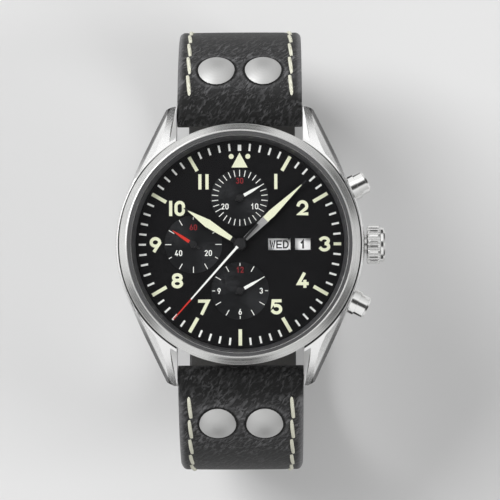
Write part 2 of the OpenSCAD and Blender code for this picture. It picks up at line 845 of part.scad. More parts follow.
module hand(angle, z, hub_r, bore) {
    rotate(clock(angle)) difference() {
        union() {
            rod(hub_r, z, z + hand_t);
            slab(z, z + hand_t) children();
        }
        rod(bore, z - 1, z + 1);
    }
}

module hour_hand() {
    color("ivory") hand(hour_at, hour_z, hour_tube_r + hand_hub_w, hour_tube_r)
        sword_2d(hour_tube_r + 0.15, hour_widest * hour_len, hour_len, hour_w);
}

module minute_hand() {
    color("ivory") hand(minute_at, minute_z, cannon_r + hand_hub_w + 0.1, cannon_r)
        sword_2d(cannon_r + 0.2, minute_widest * minute_len, minute_len, minute_w);
}

module chronograph_hand() {
    color("ivory") rotate(clock(chrono_at)) difference() {
        union() {
            slab(chrono_hand_z, chrono_hand_z + hand_t) {
                circle(r = 0.95, $fn = small);
                polygon([[-chrono_tail, -0.2], [-chrono_tail, 0.2], [0, 0.2], [chrono_len, 0.09],
                    [chrono_len, -0.09], [0, -0.2]]);
            }
            rod(0.5, chrono_hand_z - 0.08, chrono_hand_z + 0.32);
        }
        rod(counter_arbor_r, chrono_hand_z - 1, chrono_hand_z + 0.12);
    }
}

module sub_hand(place, angle, length, tail) {
    at(place) rotate(clock(angle)) difference() {
        union() {
            slab(sub_hand_z, sub_hand_z + hand_t) {
                circle(r = 0.62, $fn = small);
                polygon([[-tail, -0.16], [-tail, 0.16], [0.4, 0.28], [length * 0.55, 0.24],
                    [length, 0.05], [length, -0.05], [length * 0.55, -0.24], [0.4, -0.28]]);
            }
            rod(0.42, sub_hand_z - 0.1, sub_hand_z + 0.3);
        }
        rod(counter_arbor_r, sub_hand_z - 1, sub_hand_z + 0.12);
    }
}

module small_seconds_hand() {
    color("red") sub_hand(fourth_at, seconds_at, sub_hand_len, 1.3);
}

module minute_counter_hand() {
    color("white") sub_hand([0, sub_r], counter_at, sub_hand_len, 0.9);
}

module hour_counter_hand() {
    color("white") sub_hand([0, -sub_r], counter_at, sub_hand_len, 0.9);
}

// Motion works, on the dial side of the mainplate

motion_z = plate_z1 + 0.06;

module hour_wheel() {
    color("goldenrod") difference() {
        union() {
            slab(motion_z + 0.45, motion_z + 0.45 + wheel_t) gear_2d(hour_n, m_hour, hour_phase);
            rod(hour_tube_r, motion_z + 0.45, hour_z + hand_t + 0.05);
        }
        rod(cannon_r + run, motion_z - 1, hour_z + 2);
    }
}

module cannon_pinion() {
    color("silver") difference() {
        union() {
            slab(motion_z, motion_z + 0.4) gear_2d(cannon_n, m_cannon, 0);
            rod(cannon_r, motion_z, minute_z + hand_t + 0.08);
        }
        rod(cannon_bore_r, motion_z - 1, minute_z + 2);
    }
}

module minute_wheel() {
    color("goldenrod") difference() {
        at(minute_wheel_at) {
            slab(motion_z, motion_z + wheel_t) gear_2d(minute_n[0], m_cannon, minute_phase);
            slab(motion_z + wheel_t - eps, motion_z + 0.8) gear_2d(minute_n[1], m_hour, 0);
        }
        at(minute_wheel_at) rod(arbor_d / 2 + run, motion_z - 1, motion_z + 2);
    }
}

module driving_pinion() {
    color("silver") at(second_at) difference() {
        slab(motion_z, motion_z + 0.4) gear_2d(cannon_n, m_driving, driving_phase);
        rod(arbor_d / 2 + run, motion_z - through, motion_z + 2 * through);
    }
}

module date_ring() {
    color("white") ring(calendar_r - 0.12, sub_r + 0.85, plate_z1 + 0.55, plate_z1 + 0.75);
}

module day_disc() {
    color("white") at(day_at) ring(day_r, day_post_r + run, plate_z1 + 0.15, plate_z1 + 0.35);
}

// Plates and bridges

module pivot_holes(places, r, z0, z1) {
    for (p = places) at(p) rod(r, z0, z1);
}

counter_places = [[0, 0], [0, sub_r], [0, -sub_r], [-sub_r, 0]];
pallet_at = escape_at + 2.75 * (balance_at - escape_at) / norm(balance_at - escape_at);

module mainplate() {
    color("goldenrod") difference() {
        union() {
            difference() {
                rod_fine(movement_r, bridge_z1, dial_z0);
                rod_fine(train_r, bridge_z1 - 1, plate_z0);
                rod_fine(calendar_r, plate_z1 + 0.5, dial_z0 + 1);
                rod_fine(calendar_r - 0.85, plate_z1, dial_z0 + 1);
                at(day_at) rod_fine(day_r + 0.07, plate_z1, dial_z0 + 1);
            }
            // Posts of the day disc and of the minute wheel
            at(day_at) rod(day_post_r, plate_z1 - eps, plate_z1 + 0.45);
            at(minute_wheel_at) rod(arbor_d / 2, plate_z1 - eps, motion_z + 0.85);
        }
        pivot_holes(counter_places, counter_arbor_r + run, plate_z0 - 1, plate_z1 + 1);
        pivot_holes([second_at], arbor_d / 2 + run, plate_z0 - 1, plate_z1 + 1);
        pivot_holes([third_at, escape_at, pallet_at, balance_at], pivot_r + run,
            plate_z0 - 1, plate_z0 + 0.5);
        pivot_holes([barrel_at], barrel_arbor_r + run, plate_z0 - 1, plate_z0 + 0.6);
        out_along(0) cylinder(r = stem_r + 0.06, h = 20, $fn = 64);
        for (s = [-1, 1]) out_along(s * pusher_angle)
            translate([0, 0, 8]) cylinder(r = pusher_rod_r + 0.06, h = 20, $fn = 64);
    }
}

pivot_r = 0.12;
barrel_arbor_r = 0.6;
lever_pin_r = 0.35;
pillar_r = 0.55;

module train_bridge() {
    color("silver") difference() {
        rod_fine(movement_r, bridge_z0, bridge_z1);
        at(balance_at) rod_fine(4.3, bridge_z0 - 1, bridge_z1 + 1);
        pivot_holes([[0, 0], [0, sub_r], [0, -sub_r]], counter_arbor_r + run,
            bridge_z0 - 1, bridge_z1 + 1);
        pivot_holes([second_at, third_at, fourth_at, escape_at, pallet_at], pivot_r + run,
            bridge_z0 - 1, bridge_z1 + 1);
        pivot_holes([barrel_at], barrel_arbor_r + run, bridge_z0 - 1, bridge_z1 + 1);
    }
    // Pins on which the operating levers turn
    color("silver") for (p = lever_pivots) at(p) rod(lever_pin_r, bridge_z1 - eps, plate_z0 - 0.1);
}

lever_pivots = [start_pivot, [start_pivot[0], -start_pivot[1]], setting_pivot];

module automatic_bridge() {
    color("silver") difference() {
        union() {
            rod_fine(movement_r - 2.4, auto_z0, auto_z1);
            ring(movement_r - 2.4, movement_r - 3.1, auto_z1 - eps, bridge_z0);
            // Post of the rotor
            rod(rotor_post_r, rotor_z0 + 0.02, auto_z0 + eps);
        }
        pivot_holes([[0, sub_r], [0, -sub_r], [0, 0]], pivot_r + run, auto_z1 - 0.25, auto_z1 + 1);
        rod(0.5, 0, auto_z0);
    }
}

// Going train

module arbor(z0, z1) {
    rod(pivot_r, z0, z1);
    rod(arbor_d / 2, bridge_z1 + 0.06, plate_z0 - 0.06);
}

module barrel() {
    drum_r = m_barrel * barrel_n / 2 - 0.35;
    z0 = bridge_z1 + 0.12;
    z1 = level_a - 0.15;
    color("goldenrod") at(barrel_at) difference() {
        union() {
            rod_fine(drum_r, z0, z1);
            slab(level_b, level_b + wheel_t) gear_2d(barrel_n, m_barrel, barrel_phase);
            rod(barrel_arbor_r, bridge_z0 + 0.05, plate_z0 + 0.5);
        }
        ring(drum_r - 0.3, 1.2, z0 + 0.25, z1 - 0.25);
    }
}

module second_wheel() {
    color("goldenrod") at(second_at) {
        rod(pivot_r, bridge_z0 + 0.05, bridge_z1 + 0.2);
        rod(arbor_d / 2, bridge_z1 + 0.06, motion_z + 0.5);
        slab(level_a, level_a + wheel_t) wheel_2d(second_n[0], m_second, second_phase, 0.7, 5);
        slab(level_b - 0.05, level_b + wheel_t + 0.05) gear_2d(second_n[1], m_barrel, 0);
    }
}

module third_wheel() {
    color("goldenrod") at(third_at) {
        arbor(bridge_z0 + 0.05, plate_z0 + 0.4);
        slab(level_c, level_c + wheel_t) wheel_2d(third_n[0], m_third, third_phase, 0.6, 5);
        slab(level_a - 0.05, level_a + wheel_t + 0.05) gear_2d(third_n[1], m_second, 0);
    }
}

module fourth_wheel() {
    color("goldenrod") at(fourth_at) {
        rod(pivot_r, bridge_z0 + 0.05, bridge_z1 + 0.2);
        rod(arbor_d / 2, bridge_z1 + 0.06, plate_z0 - 0.1);
        rod(counter_arbor_r, plate_z0 - 0.15, sub_hand_z + 0.1);
        slab(level_b, level_b + wheel_t) wheel_2d(fourth_n[0], m_fourth, 0, 0.6, 5);
        slab(level_c - 0.05, level_c + wheel_t + 0.05) gear_2d(fourth_n[1], m_third, 0);
    }
}

function club_tooth(r, n, i) = let (p = 360 / n, a = p * i) [
    (r - 0.75) * [cos(a), sin(a)],
    (r - 0.75) * [cos(a + 0.45 * p), sin(a + 0.45 * p)],
    (r - 0.06) * [cos(a + 0.62 * p), sin(a + 0.62 * p)],
    r * [cos(a + 0.80 * p), sin(a + 0.80 * p)],
    (r - 0.1) * [cos(a + 0.82 * p), sin(a + 0.82 * p)]
];
escape_r = 2.2;

module escape_wheel() {
    color("silver") at(escape_at) {
        arbor(bridge_z0 + 0.05, plate_z0 + 0.4);
        slab(level_a, level_a + 0.2) difference() {
            polygon([for (i = [0:escape_n[0] - 1]) each club_tooth(escape_r, escape_n[0], i)]);
            difference() {
                circle(r = escape_r - 1.0, $fn = small);
                circle(r = 0.45, $fn = small);
                for (i = [0:3]) rotate(90 * i) translate([0, -0.12]) square([2, 0.24]);
            }
        }
        slab(level_b - 0.05, level_b + wheel_t + 0.05)
            gear_2d(escape_n[1], m_fourth, escape_phase);
    }
}

// The lever of the escapement: two pallets beside the escape wheel, and a fork
module pallet_fork() {
    aim = direction(pallet_at, balance_at);
    back = direction(pallet_at, escape_at);
    fork_len = norm(balance_at - pallet_at) - 0.95;
    color("silver") at(pallet_at) {
        arbor(bridge_z0 + 0.05, plate_z0 + 0.4);
        slab(level_a, level_a + 0.2) {
            rotate(aim) {
                bar_2d([0, 0], [fork_len - 0.5, 0], 0.32);
                bar_2d([fork_len - 0.55, 0], [fork_len - 0.1, 0.28], 0.18);
                bar_2d([fork_len - 0.55, 0], [fork_len - 0.1, -0.28], 0.18);
            }
            for (s = [-1, 1]) rotate(back) {
                bar_2d([0, 0], [0.55, s * 1.75], 0.36);
                translate([0.55, s * 1.75]) rotate(s * 20) translate([-0.1, -0.17])
                    square([0.62, 0.34]);
            }
        }
    }
}

balance_r = 3.7;

module balance_wheel() {
    color("goldenrod") at(balance_at) {
        arbor(bridge_z0 + 0.05, plate_z0 + 0.4);
        slab(level_b - 0.25, level_b + 0.15) {
            difference() {
                circle(r = balance_r, $fn = fine);
                circle(r = balance_r - 0.5, $fn = fine);
            }
            for (a = [0, 60, 120]) rotate(a) square([2 * balance_r - 0.4, 0.36], center = true);
        }
        rod(0.5, level_a, level_a + 0.2);
    }
}

// Flat spiral with its inner end on the balance staff
function spiral(r0, r1, turns, n, side) =
    [for (i = [0:n]) let (a = 360 * turns * i / n, r = r0 + (r1 - r0) * i / n + side)
        r * [cos(a), sin(a)]];

module hairspring() {
    n = 96;
    w = 0.04;
    outer = spiral(0.3, 2.4, 5, n, w);
    inner = spiral(0.3, 2.4, 5, n, -w);
    color("steelblue") at(balance_at) slab(bridge_z1 + 0.3, bridge_z1 + 0.42)
        polygon(concat(outer, [for (i = [n:-1:0]) inner[i]]));
}

module balance_cock() {
    foot = movement_r * balance_at / norm(balance_at);
    color("silver") difference() {
        union() {
            intersection() {
                slab(bridge_z0, bridge_z1) bar_2d(balance_at, foot, 2.6);
                at(balance_at) rod_fine(4.25, bridge_z0 - 1, bridge_z1 + 1);
                rod_fine(movement_r, bridge_z0 - 1, bridge_z1 + 1);
            }
            // Arm and stud that hold the hairspring's outer end
            slab(bridge_z0, bridge_z1) bar_2d(balance_at, balance_at + [2.75, 0], 0.6);
            at(balance_at + [2.75, 0]) rod(0.14, bridge_z0 + 0.1, bridge_z1 + 0.45);
        }
        at(balance_at) rod(pivot_r + run, bridge_z0 - 1, bridge_z1 + 1);
    }
}

// Chronograph works, between the train bridge and the automatic bridge

module counter_arbor(z1) {
    rod(pivot_r, auto_z1 - 0.2, chrono_z);
    rod(counter_arbor_r, auto_z1 + 0.05, z1);
}

module chronograph_runner() {
    color("goldenrod") {
        counter_arbor(chrono_hand_z + 0.05);
        slab(chrono_z, chrono_z + 0.25) wheel_2d(60, 0.1, 0, 0.8, 5);
    }
}

module minute_counter_wheel() {
    color("goldenrod") at([0, sub_r]) {
        counter_arbor(sub_hand_z + 0.1);
        slab(chrono_z, chrono_z + 0.25) wheel_2d(30, 0.15, 0, 0.8, 4);
    }
}

module hour_counter_wheel() {
    color("goldenrod") at([0, -sub_r]) {
        counter_arbor(sub_hand_z + 0.1);
        slab(chrono_z, chrono_z + 0.25) wheel_2d(36, 0.13, 0, 0.8, 4);
    }
}

// Winding rotor: half disc with a heavy rim, on the automatic bridge's post
module rotor() {
    rim_r = movement_r - 1.3;
    color("lightgray") difference() {
        union() {
            intersection() {
                union() {
                    ring(rim_r, rim_r - 2.6, rotor_z0, rotor_z1);
                    ring(rim_r - 2.5, rotor_post_r + 0.5, rotor_z0 + 0.35, rotor_z0 + 0.8);
                }
                translate([-30, -60, 0]) cube([60, 60, 10]);
            }
            rod_fine(3.2, rotor_z0 + 0.35, rotor_z0 + 0.8);
            rod_fine(2.1, rotor_z0 + 0.06, rotor_z1);
        }
        rod(rotor_post_r + run, 0, 10);
    }
}

// Screw in the rotor's post: its head keeps the rotor on
module rotor_screw() {
    color("silver") difference() {
        union() {
            rod(rotor_post_r + 0.6, rotor_z0 - 0.16, rotor_z0 + 0.02);
            rod(0.5, rotor_z0, auto_z0);
        }
        slab(0, rotor_z0 - 0.08) square([0.25, 6], center = true);
    }
}

// Keyless works and operating levers

module setting_lever() {
    p = setting_pivot;
    color("silver") difference() {
        union() {
            slab(stem_z + stem_r + 0.05, stem_z + stem_r + 0.25) {
                bar_2d(p, [p[0], 0], 0.7);
                bar_2d(p, [p[0] - 0.9, p[1] - 1.6], 0.6);
            }
            at([p[0], 0]) rod(0.2, stem_z + stem_r - 0.22, stem_z + stem_r + 0.1);
            at(p) rod(0.75, stem_z + stem_r + 0.05, stem_z + stem_r + 0.25);
        }
        at(p) rod(lever_pin_r + run, 0, 10);
    }
}

// A bell crank: the short arm meets the pusher's rod and the long one works the cam
module operating_lever() {
    a = pusher_angle;
    nose = (rod_end - 0.42) * [cos(a), sin(a)];
    color("silver") difference() {
        union() {
            slab(stem_z - 0.3, stem_z + 0.1) {
                bar_2d(start_pivot, nose, 0.7);
                bar_2d(start_pivot, start_pivot + [-2.8, 1.6], 0.6);
            }
            at(start_pivot) rod(0.7, stem_z - 0.3, stem_z + 0.1);
        }
        at(start_pivot) rod(lever_pin_r + run, 0, 10);
    }
}

module start_lever() {
    operating_lever();
}

module reset_lever() {
    mirror([0, 1, 0]) operating_lever();
}

// Strap

// Point and outward normal of the strap's middle line, s along it from the spring bar
function bend_point(c, r, a) = [c + r * [sin(a), cos(a)], [sin(a), cos(a)]];
function path_at(s, lift) =
    s < len_1 ? bend_point(bend_1, strap_r1, strap_slope + s / strap_r1 * 180 / PI)
    : s < len_1 + len_2 ? bend_point(bend_2, strap_r2, 90 + (s - len_1) / strap_r2 * 180 / PI)
    : let (y = flat_y - (s - len_1 - len_2))
        y > -flat_y ? [[y, flat_z - lift * tail_share(y)], flat_normal(y, lift)]
        : bend_point([-flat_y, bend_1[1]], strap_r2 + lift,
            180 + (-flat_y - y) / (strap_r2 + lift) * 180 / PI);
// Share of the lift that takes the long half outside the buckle's bar, y counted as on its side
tail_y0 = 12;
tail_y1 = -0.5;
function tail_share(y) = smooth((tail_y0 - y) / (tail_y0 - tail_y1));
function flat_normal(y, lift) =
    let (slope = lift * (tail_share(y - 0.1) - tail_share(y + 0.1)) / 0.2)
        [slope, -1] / norm([slope, 1]);
function half_t(s) = strap_h + (strap_end_t / 2 - strap_h) * (1 - smooth(s / end_taper));

module band_2d(stations, lift) {
    outer = [for (s = stations) let (p = path_at(s, lift)) p[0] + half_t(s) * p[1]];
    inner = [for (s = stations) let (p = path_at(s, lift)) p[0] - half_t(s) * p[1]];
    n = len(stations) - 1;
    polygon(concat(outer, [for (i = [n:-1:0]) inner[i]]));
}

// Heights between which the strap narrows to the buckle's width
taper_z0 = -12;
taper_z1 = -28;
module strap_taper() {
    top = lug_gap / 2 - 0.1;
    low = buckle_w / 2;
    rotate([90, 0, 0]) linear_extrude(160, center = true) polygon([
        [-top, 20], [top, 20], [top, taper_z0], [low, taper_z1],
        [low, -80], [-low, -80], [-low, taper_z1], [-top, taper_z0]
    ]);
}

// Rivet frame: origin on the strap's outer face, +Z out of it
rivet_s = let (a = asin((rivet_y - bend_1[0]) / (strap_r1 + strap_h)))
    (a - strap_slope) * PI / 180 * strap_r1;
module at_rivets() {
    p = path_at(rivet_s, 0);
    face = p[0] + half_t(rivet_s) * p[1];
    for (x = [-1, 1]) translate([x * rivet_pitch / 2, face[0], face[1]])
        rotate([-atan2(p[1][0], p[1][1]), 0, 0]) children();
}

rivet_seat = 0.25;
rivet_dome = 0.9;
rivet_cap_r = 2.4;

module strap_half(stations, lift) {
    difference() {
        intersection() {
            union() {
                along_x(40) band_2d(stations, lift);
                translate([0, bar_y, bar_z]) rotate([0, 90, 0])
                    cylinder(d = strap_end_t, h = 40, center = true, $fn = 64);
            }
            strap_taper();
        }
        translate([0, bar_y, bar_z]) rotate([0, 90, 0])
            cylinder(r = bar_d / 2 + run, h = 60, center = true, $fn = 64);
        at_rivets() {
            translate([0, 0, -10]) cylinder(r = 1.2, h = 20, $fn = small);
            translate([0, 0, -rivet_seat]) cylinder(r = rivet_d / 2, h = 5, $fn = 64);
            translate([0, 0, -2 * half_t(rivet_s) - 6]) cylinder(r = rivet_cap_r, h = 6, $fn = 64);
        }
    }
}

short_len = len_1 + len_2 + flat_y - buckle_y;

module upper_strap() {
    n = 44;
    color("#17181a") difference() {
        union() {
            strap_half([for (i = [0:n]) short_len * i / n], 0);
            translate([0, buckle_y, flat_z]) rotate([0, 90, 0])
                cylinder(r = fold_r, h = buckle_w, center = true, $fn = 64);
        }
        translate([0, buckle_y, flat_z]) rotate([0, 90, 0])
            cylinder(r = buckle_bar_d / 2 + 0.05, h = 60, center = true, $fn = 64);
        // Slot in which the tongue turns
        translate([-tongue_w / 2 - 0.3, buckle_y - 4, flat_z - 5])
            cube([tongue_w + 0.6, 6.2, 10]);
    }
}

module tongue_slot() {
    d = tongue_tip - [buckle_y, flat_z];
    mirror([0, 1, 0]) translate([0, buckle_y, flat_z]) rotate([-atan2(d[1], -d[0]), 0, 0])
        translate([-tongue_w / 2 - 0.35, -9.5, -2.4]) cube([tongue_w + 0.7, 9.5, 3.4]);
}

module tail_holes() {
    for (i = [1:4]) let (s = len_1 + len_2 + flat_y + i * 6.5 + 4, p = path_at(s, tail_lift))
        translate([0, p[0][0], p[0][1]]) rotate([-atan2(p[1][0], p[1][1]), 0, 0])
            cylinder(d = 2.2, h = 12, center = true, $fn = small);
}

module lower_strap() {
    n = 70;
    color("#17181a") mirror([0, 1, 0]) difference() {
        strap_half([for (i = [0:n]) long_strap_len * i / n], tail_lift);
        tongue_slot();
        tail_holes();
        // Rounded point of the tail
        let (p = path_at(long_strap_len, tail_lift))
            translate([0, p[0][0], p[0][1]]) rotate([-atan2(p[1][0], p[1][1]), 0, 0])
                tail_point();
    }
}

// Everything outside the pointed outline of the strap's tail
module tail_point() {
    w = buckle_w / 2;
    translate([0, 0, -5]) linear_extrude(10) mirror([0, 1]) difference() {
        translate([-w - 3, -3]) square([2 * w + 6, w + 3]);
        polygon([[-w, w + 1], [-w, 6.5], [-w * 0.72, 3], [-w * 0.3, 0.7], [0, 0.05],
            [w * 0.3, 0.7], [w * 0.72, 3], [w, 6.5], [w, w + 1]]);
    }
}

module strap_rivets() {
    t = 2 * half_t(rivet_s);
    color("silver") for (y = [0, 1]) mirror([0, y, 0]) at_rivets() {
        rotate_extrude($fn = 64) polygon(concat(
            [[0, -rivet_seat], [rivet_d / 2, -rivet_seat]],
            [for (i = [0:6]) let (r = rivet_d / 2 * (1 - i / 6))
                [r, rivet_dome * (1 - pow(r / (rivet_d / 2), 2))]]
        ));
        translate([0, 0, -t - 0.3]) cylinder(r = 1.2, h = t + 0.3, $fn = small);
        translate([0, 0, -t - 0.5]) cylinder(r = rivet_cap_r, h = 0.5, $fn = 64);
    }
}

// A loop of leather around both strap halves
module keeper(y) {
    w = buckle_w / 2 + keeper_gap;
    top = flat_z + strap_h + keeper_gap;
    low = foot_z + keeper_t;
    color("#17181a") translate([0, y, 0]) rotate([90, 0, 0]) linear_extrude(keeper_w, center = true)
        difference() {
            translate([-w - keeper_t, foot_z]) square([2 * (w + keeper_t), top + keeper_t - foot_z]);
            translate([-w, low]) square([2 * w, top - low]);
        }
}

module fixed_keeper() {
    keeper(fixed_keeper_y);
}

module free_keeper() {
    keeper(free_keeper_y);
}

module spring_bars() {
    color("silver") for (y = [-bar_y, bar_y]) translate([0, y, bar_z]) rotate([0, 90, 0]) {
        cylinder(d = bar_d, h = lug_gap - 0.3, center = true, $fn = 64);
        cylinder(d = bar_pivot_d, h = lug_gap + 2 * pivot_len, center = true, $fn = 64);
    }
}

// Buckle

module buckle_frame() {
    pin_r = buckle_bar_d / 2 - 0.3;
    color("silver") difference() {
        union() {
            for (s = [-1, 1]) translate([s * (frame_in + frame_out) / 2, 0, 0])
                along_x(buckle_arm_w) bar_2d([buckle_y, flat_z], [cross_y, cross_z], 2.6);
            along_x(2 * frame_out) polygon([
                [cross_y - cross_bar_l / 2, cross_z - 0.6], [cross_y - 0.9, foot_z],
                [cross_y + 0.9, foot_z], [cross_y + cross_bar_l / 2, cross_z - 0.6],
                [cross_y + cross_bar_l / 2, cross_z + 0.6], [cross_y + 0.9, cross_z + 1.5],
                [cross_y - 0.9, cross_z + 1.5], [cross_y - cross_bar_l / 2, cross_z + 0.6]
            ]);
        }
        translate([0, buckle_y, flat_z]) rotate([0, 90, 0])
            cylinder(r = pin_r + fit, h = 2 * frame_out - 1, center = true, $fn = small);
        // Notch for the tongue's tip
        translate([-tongue_w / 2 - 0.2, cross_y - 4, foot_z - 1])
            cube([tongue_w + 0.4, 8, tongue_t + 2.2]);
    }
}

module buckle_bar() {
    pin_r = buckle_bar_d / 2 - 0.3;
    color("silver") translate([0, buckle_y, flat_z]) rotate([0, 90, 0]) {
        cylinder(d = buckle_bar_d, h = 2 * frame_in - 0.2, center = true, $fn = 64);
        cylinder(r = pin_r, h = 2 * frame_out - 1.2, center = true, $fn = small);
    }
}

module buckle_tongue() {
    color("silver") difference() {
        along_x(tongue_w) {
            bar_2d([buckle_y, flat_z], tongue_tip, tongue_t);
            translate([buckle_y, flat_z]) circle(r = tongue_eye_r, $fn = 64);
        }
        translate([0, buckle_y, flat_z]) rotate([0, 90, 0])
            cylinder(r = buckle_bar_d / 2 + run, h = 2 * tongue_w, center = true, $fn = 64);
    }
}

mid_case();
bezel();
crystal();
crystal_gasket();
dial_flange();
dial();
case_back();
case_back_gasket();
movement_ring();
casing_clamps();
crown_tube();
crown_gasket();
crown();
winding_stem();
pusher_tubes();
start_pusher();
reset_pusher();
start_pusher_spring();
reset_pusher_spring();
hour_hand();
minute_hand();
chronograph_hand();
small_seconds_hand();
minute_counter_hand();
hour_counter_hand();
hour_wheel();
cannon_pinion();
minute_wheel();
driving_pinion();
date_ring();
day_disc();
mainplate();
train_bridge();
automatic_bridge();
barrel();
second_wheel();
third_wheel();
fourth_wheel();
escape_wheel();
pallet_fork();
balance_wheel();
hairspring();
balance_cock();
chronograph_runner();
minute_counter_wheel();
hour_counter_wheel();
rotor();
rotor_screw();
setting_lever();
start_lever();
reset_lever();
spring_bars();
upper_strap();
lower_strap();
strap_rivets();
fixed_keeper();
free_keeper();
buckle_frame();
buckle_bar();
buckle_tongue();
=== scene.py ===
# %% [markdown]
# # A pilot chronograph, dressed for its portrait
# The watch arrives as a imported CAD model: every wheel, hand and screw already has its true size
# and place. What is left is what the eye enjoys: brushed and polished steel, black lacquer,
# luminous paint, grained leather and cream thread. Each cell below takes one of these in turn.
# All sizes are millimetres on the drawing board and are turned into metres at the last moment.

# %% Load the watch
import math

import bmesh
import bpy
from mathutils import Matrix, Vector
from mathutils.geometry import delaunay_2d_cdt


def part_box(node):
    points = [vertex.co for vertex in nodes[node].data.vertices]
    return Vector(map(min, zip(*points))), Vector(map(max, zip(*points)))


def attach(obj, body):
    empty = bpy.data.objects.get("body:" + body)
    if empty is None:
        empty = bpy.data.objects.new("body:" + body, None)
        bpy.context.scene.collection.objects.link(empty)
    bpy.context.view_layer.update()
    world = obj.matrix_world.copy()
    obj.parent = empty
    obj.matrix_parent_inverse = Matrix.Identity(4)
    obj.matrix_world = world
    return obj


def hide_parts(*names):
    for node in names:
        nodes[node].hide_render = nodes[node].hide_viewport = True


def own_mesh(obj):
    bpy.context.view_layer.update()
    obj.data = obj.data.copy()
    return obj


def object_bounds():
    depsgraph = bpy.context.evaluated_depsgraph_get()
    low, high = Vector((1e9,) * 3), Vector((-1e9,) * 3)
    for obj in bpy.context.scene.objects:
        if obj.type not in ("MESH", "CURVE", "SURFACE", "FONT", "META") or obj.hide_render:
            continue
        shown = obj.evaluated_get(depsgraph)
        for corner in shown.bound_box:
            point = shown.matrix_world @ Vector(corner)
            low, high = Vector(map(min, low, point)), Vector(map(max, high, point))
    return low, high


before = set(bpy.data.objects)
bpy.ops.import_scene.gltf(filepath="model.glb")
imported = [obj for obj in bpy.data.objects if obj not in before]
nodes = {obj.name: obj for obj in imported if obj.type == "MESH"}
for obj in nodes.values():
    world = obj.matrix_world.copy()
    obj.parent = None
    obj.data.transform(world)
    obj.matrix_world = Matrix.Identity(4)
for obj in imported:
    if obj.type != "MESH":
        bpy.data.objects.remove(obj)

MM = 0.001
cad_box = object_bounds()
scene = bpy.context.scene


def span(name):
    """Lowest and highest corner of a CAD node, in millimetres."""
    low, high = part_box(name)
    return low / MM, high / MM


DIAL_TOP = span("dial")[1].z
FLOOR_Z = cad_box[0].z / MM
print(len(nodes), "CAD nodes, dial face at", round(DIAL_TOP, 3), "mm")

# %% [markdown]
# ## The camera
# The portrait is taken with a long lens from nearly half a metre above the dial, tilted by two
# and a half degrees. A long lens keeps the round case round, and the little tilt shows slightly
# more of the strap at 12 o'clock than at 6. The dial sits a few pixels off the middle of the
# frame. Turning the camera would mend that and squash the case a little, so the lens is shifted
# instead, by that share of the picture's width.

# %% Camera
PICTURE = 500
SCALE = 0.1725
DIAL_PIXEL = (240.0, 244.7)
CAMERA_AT = Vector((5.0, -20.0, 478.0))
LOOK_AT = Vector((0, 0, 8.0))
CAMERA_ROLL = math.radians(-0.25)
SENSOR = 36.0

distance = (CAMERA_AT - LOOK_AT).length
camera_data = bpy.data.cameras.new("portrait_camera")
camera_data.sensor_width = SENSOR
camera_data.lens = SENSOR * distance / (SCALE * PICTURE)
camera_data.shift_x = (PICTURE / 2 - DIAL_PIXEL[0]) / PICTURE
camera_data.shift_y = (DIAL_PIXEL[1] - PICTURE / 2) / PICTURE
camera_data.clip_start = 0.01
camera = bpy.data.objects.new("portrait_camera", camera_data)
back = (CAMERA_AT - LOOK_AT).normalized()
right = Vector((0, 1, 0)).cross(back).normalized()
aim = Matrix((right, back.cross(right), back)).transposed().to_4x4()
roll = Matrix.Rotation(CAMERA_ROLL, 4, "Z")
camera.matrix_world = Matrix.Translation(CAMERA_AT * MM) @ aim @ roll
scene.collection.objects.link(camera)
scene.camera = camera
print("lens", round(camera_data.lens, 1), "mm at", round(distance), "mm")

# %% [markdown]
# ## Writing materials as arithmetic
# A shader is a sum of small formulas: a distance, a wave, a mask. Blender draws each step as a
# node, but it is easier to read `1 - mask` than three nodes and four links. The two classes here
# wrap a node tree and its sockets. `Tree.add` makes any node, and the operators on `Out` add the
# Math node that they name. The same two classes serve Geometry Nodes further down. `Finish` is
# a tree with one Principled shader, which nearly every real surface is made from.

# %% Node helpers
class Out:
    """One output socket. Arithmetic on it adds Math nodes to its tree."""

    def __init__(self, tree, socket):
        self.tree = tree
        self.socket = socket

    def math(self, operation, *values):
        return self.tree.add("ShaderNodeMath", {"operation": operation}, dict(enumerate(values)))

    def __add__(self, other):
        return self.math("ADD", self, other)

    def __radd__(self, other):
        return self.math("ADD", other, self)

    def __sub__(self, other):
        return self.math("SUBTRACT", self, other)

    def __rsub__(self, other):
        return self.math("SUBTRACT", other, self)

    def __mul__(self, other):
        return self.math("MULTIPLY", self, other)

    def __rmul__(self, other):
        return self.math("MULTIPLY", other, self)

    def __truediv__(self, other):
        return self.math("DIVIDE", self, other)

    def __rtruediv__(self, other):
        return self.math("DIVIDE", other, self)

    def __pow__(self, other):
        return self.math("POWER", self, other)

    def __rpow__(self, other):
        return self.math("POWER", other, self)

    def __lt__(self, other):
        return self.math("LESS_THAN", self, other)

    def __gt__(self, other):
        return self.math("GREATER_THAN", self, other)

    def __abs__(self):
        return self.math("ABSOLUTE", self)

    def wave(self):
        """A sine wave over this value, from 0 to 1."""
        return self.math("SINE", self) * 0.5 + 0.5


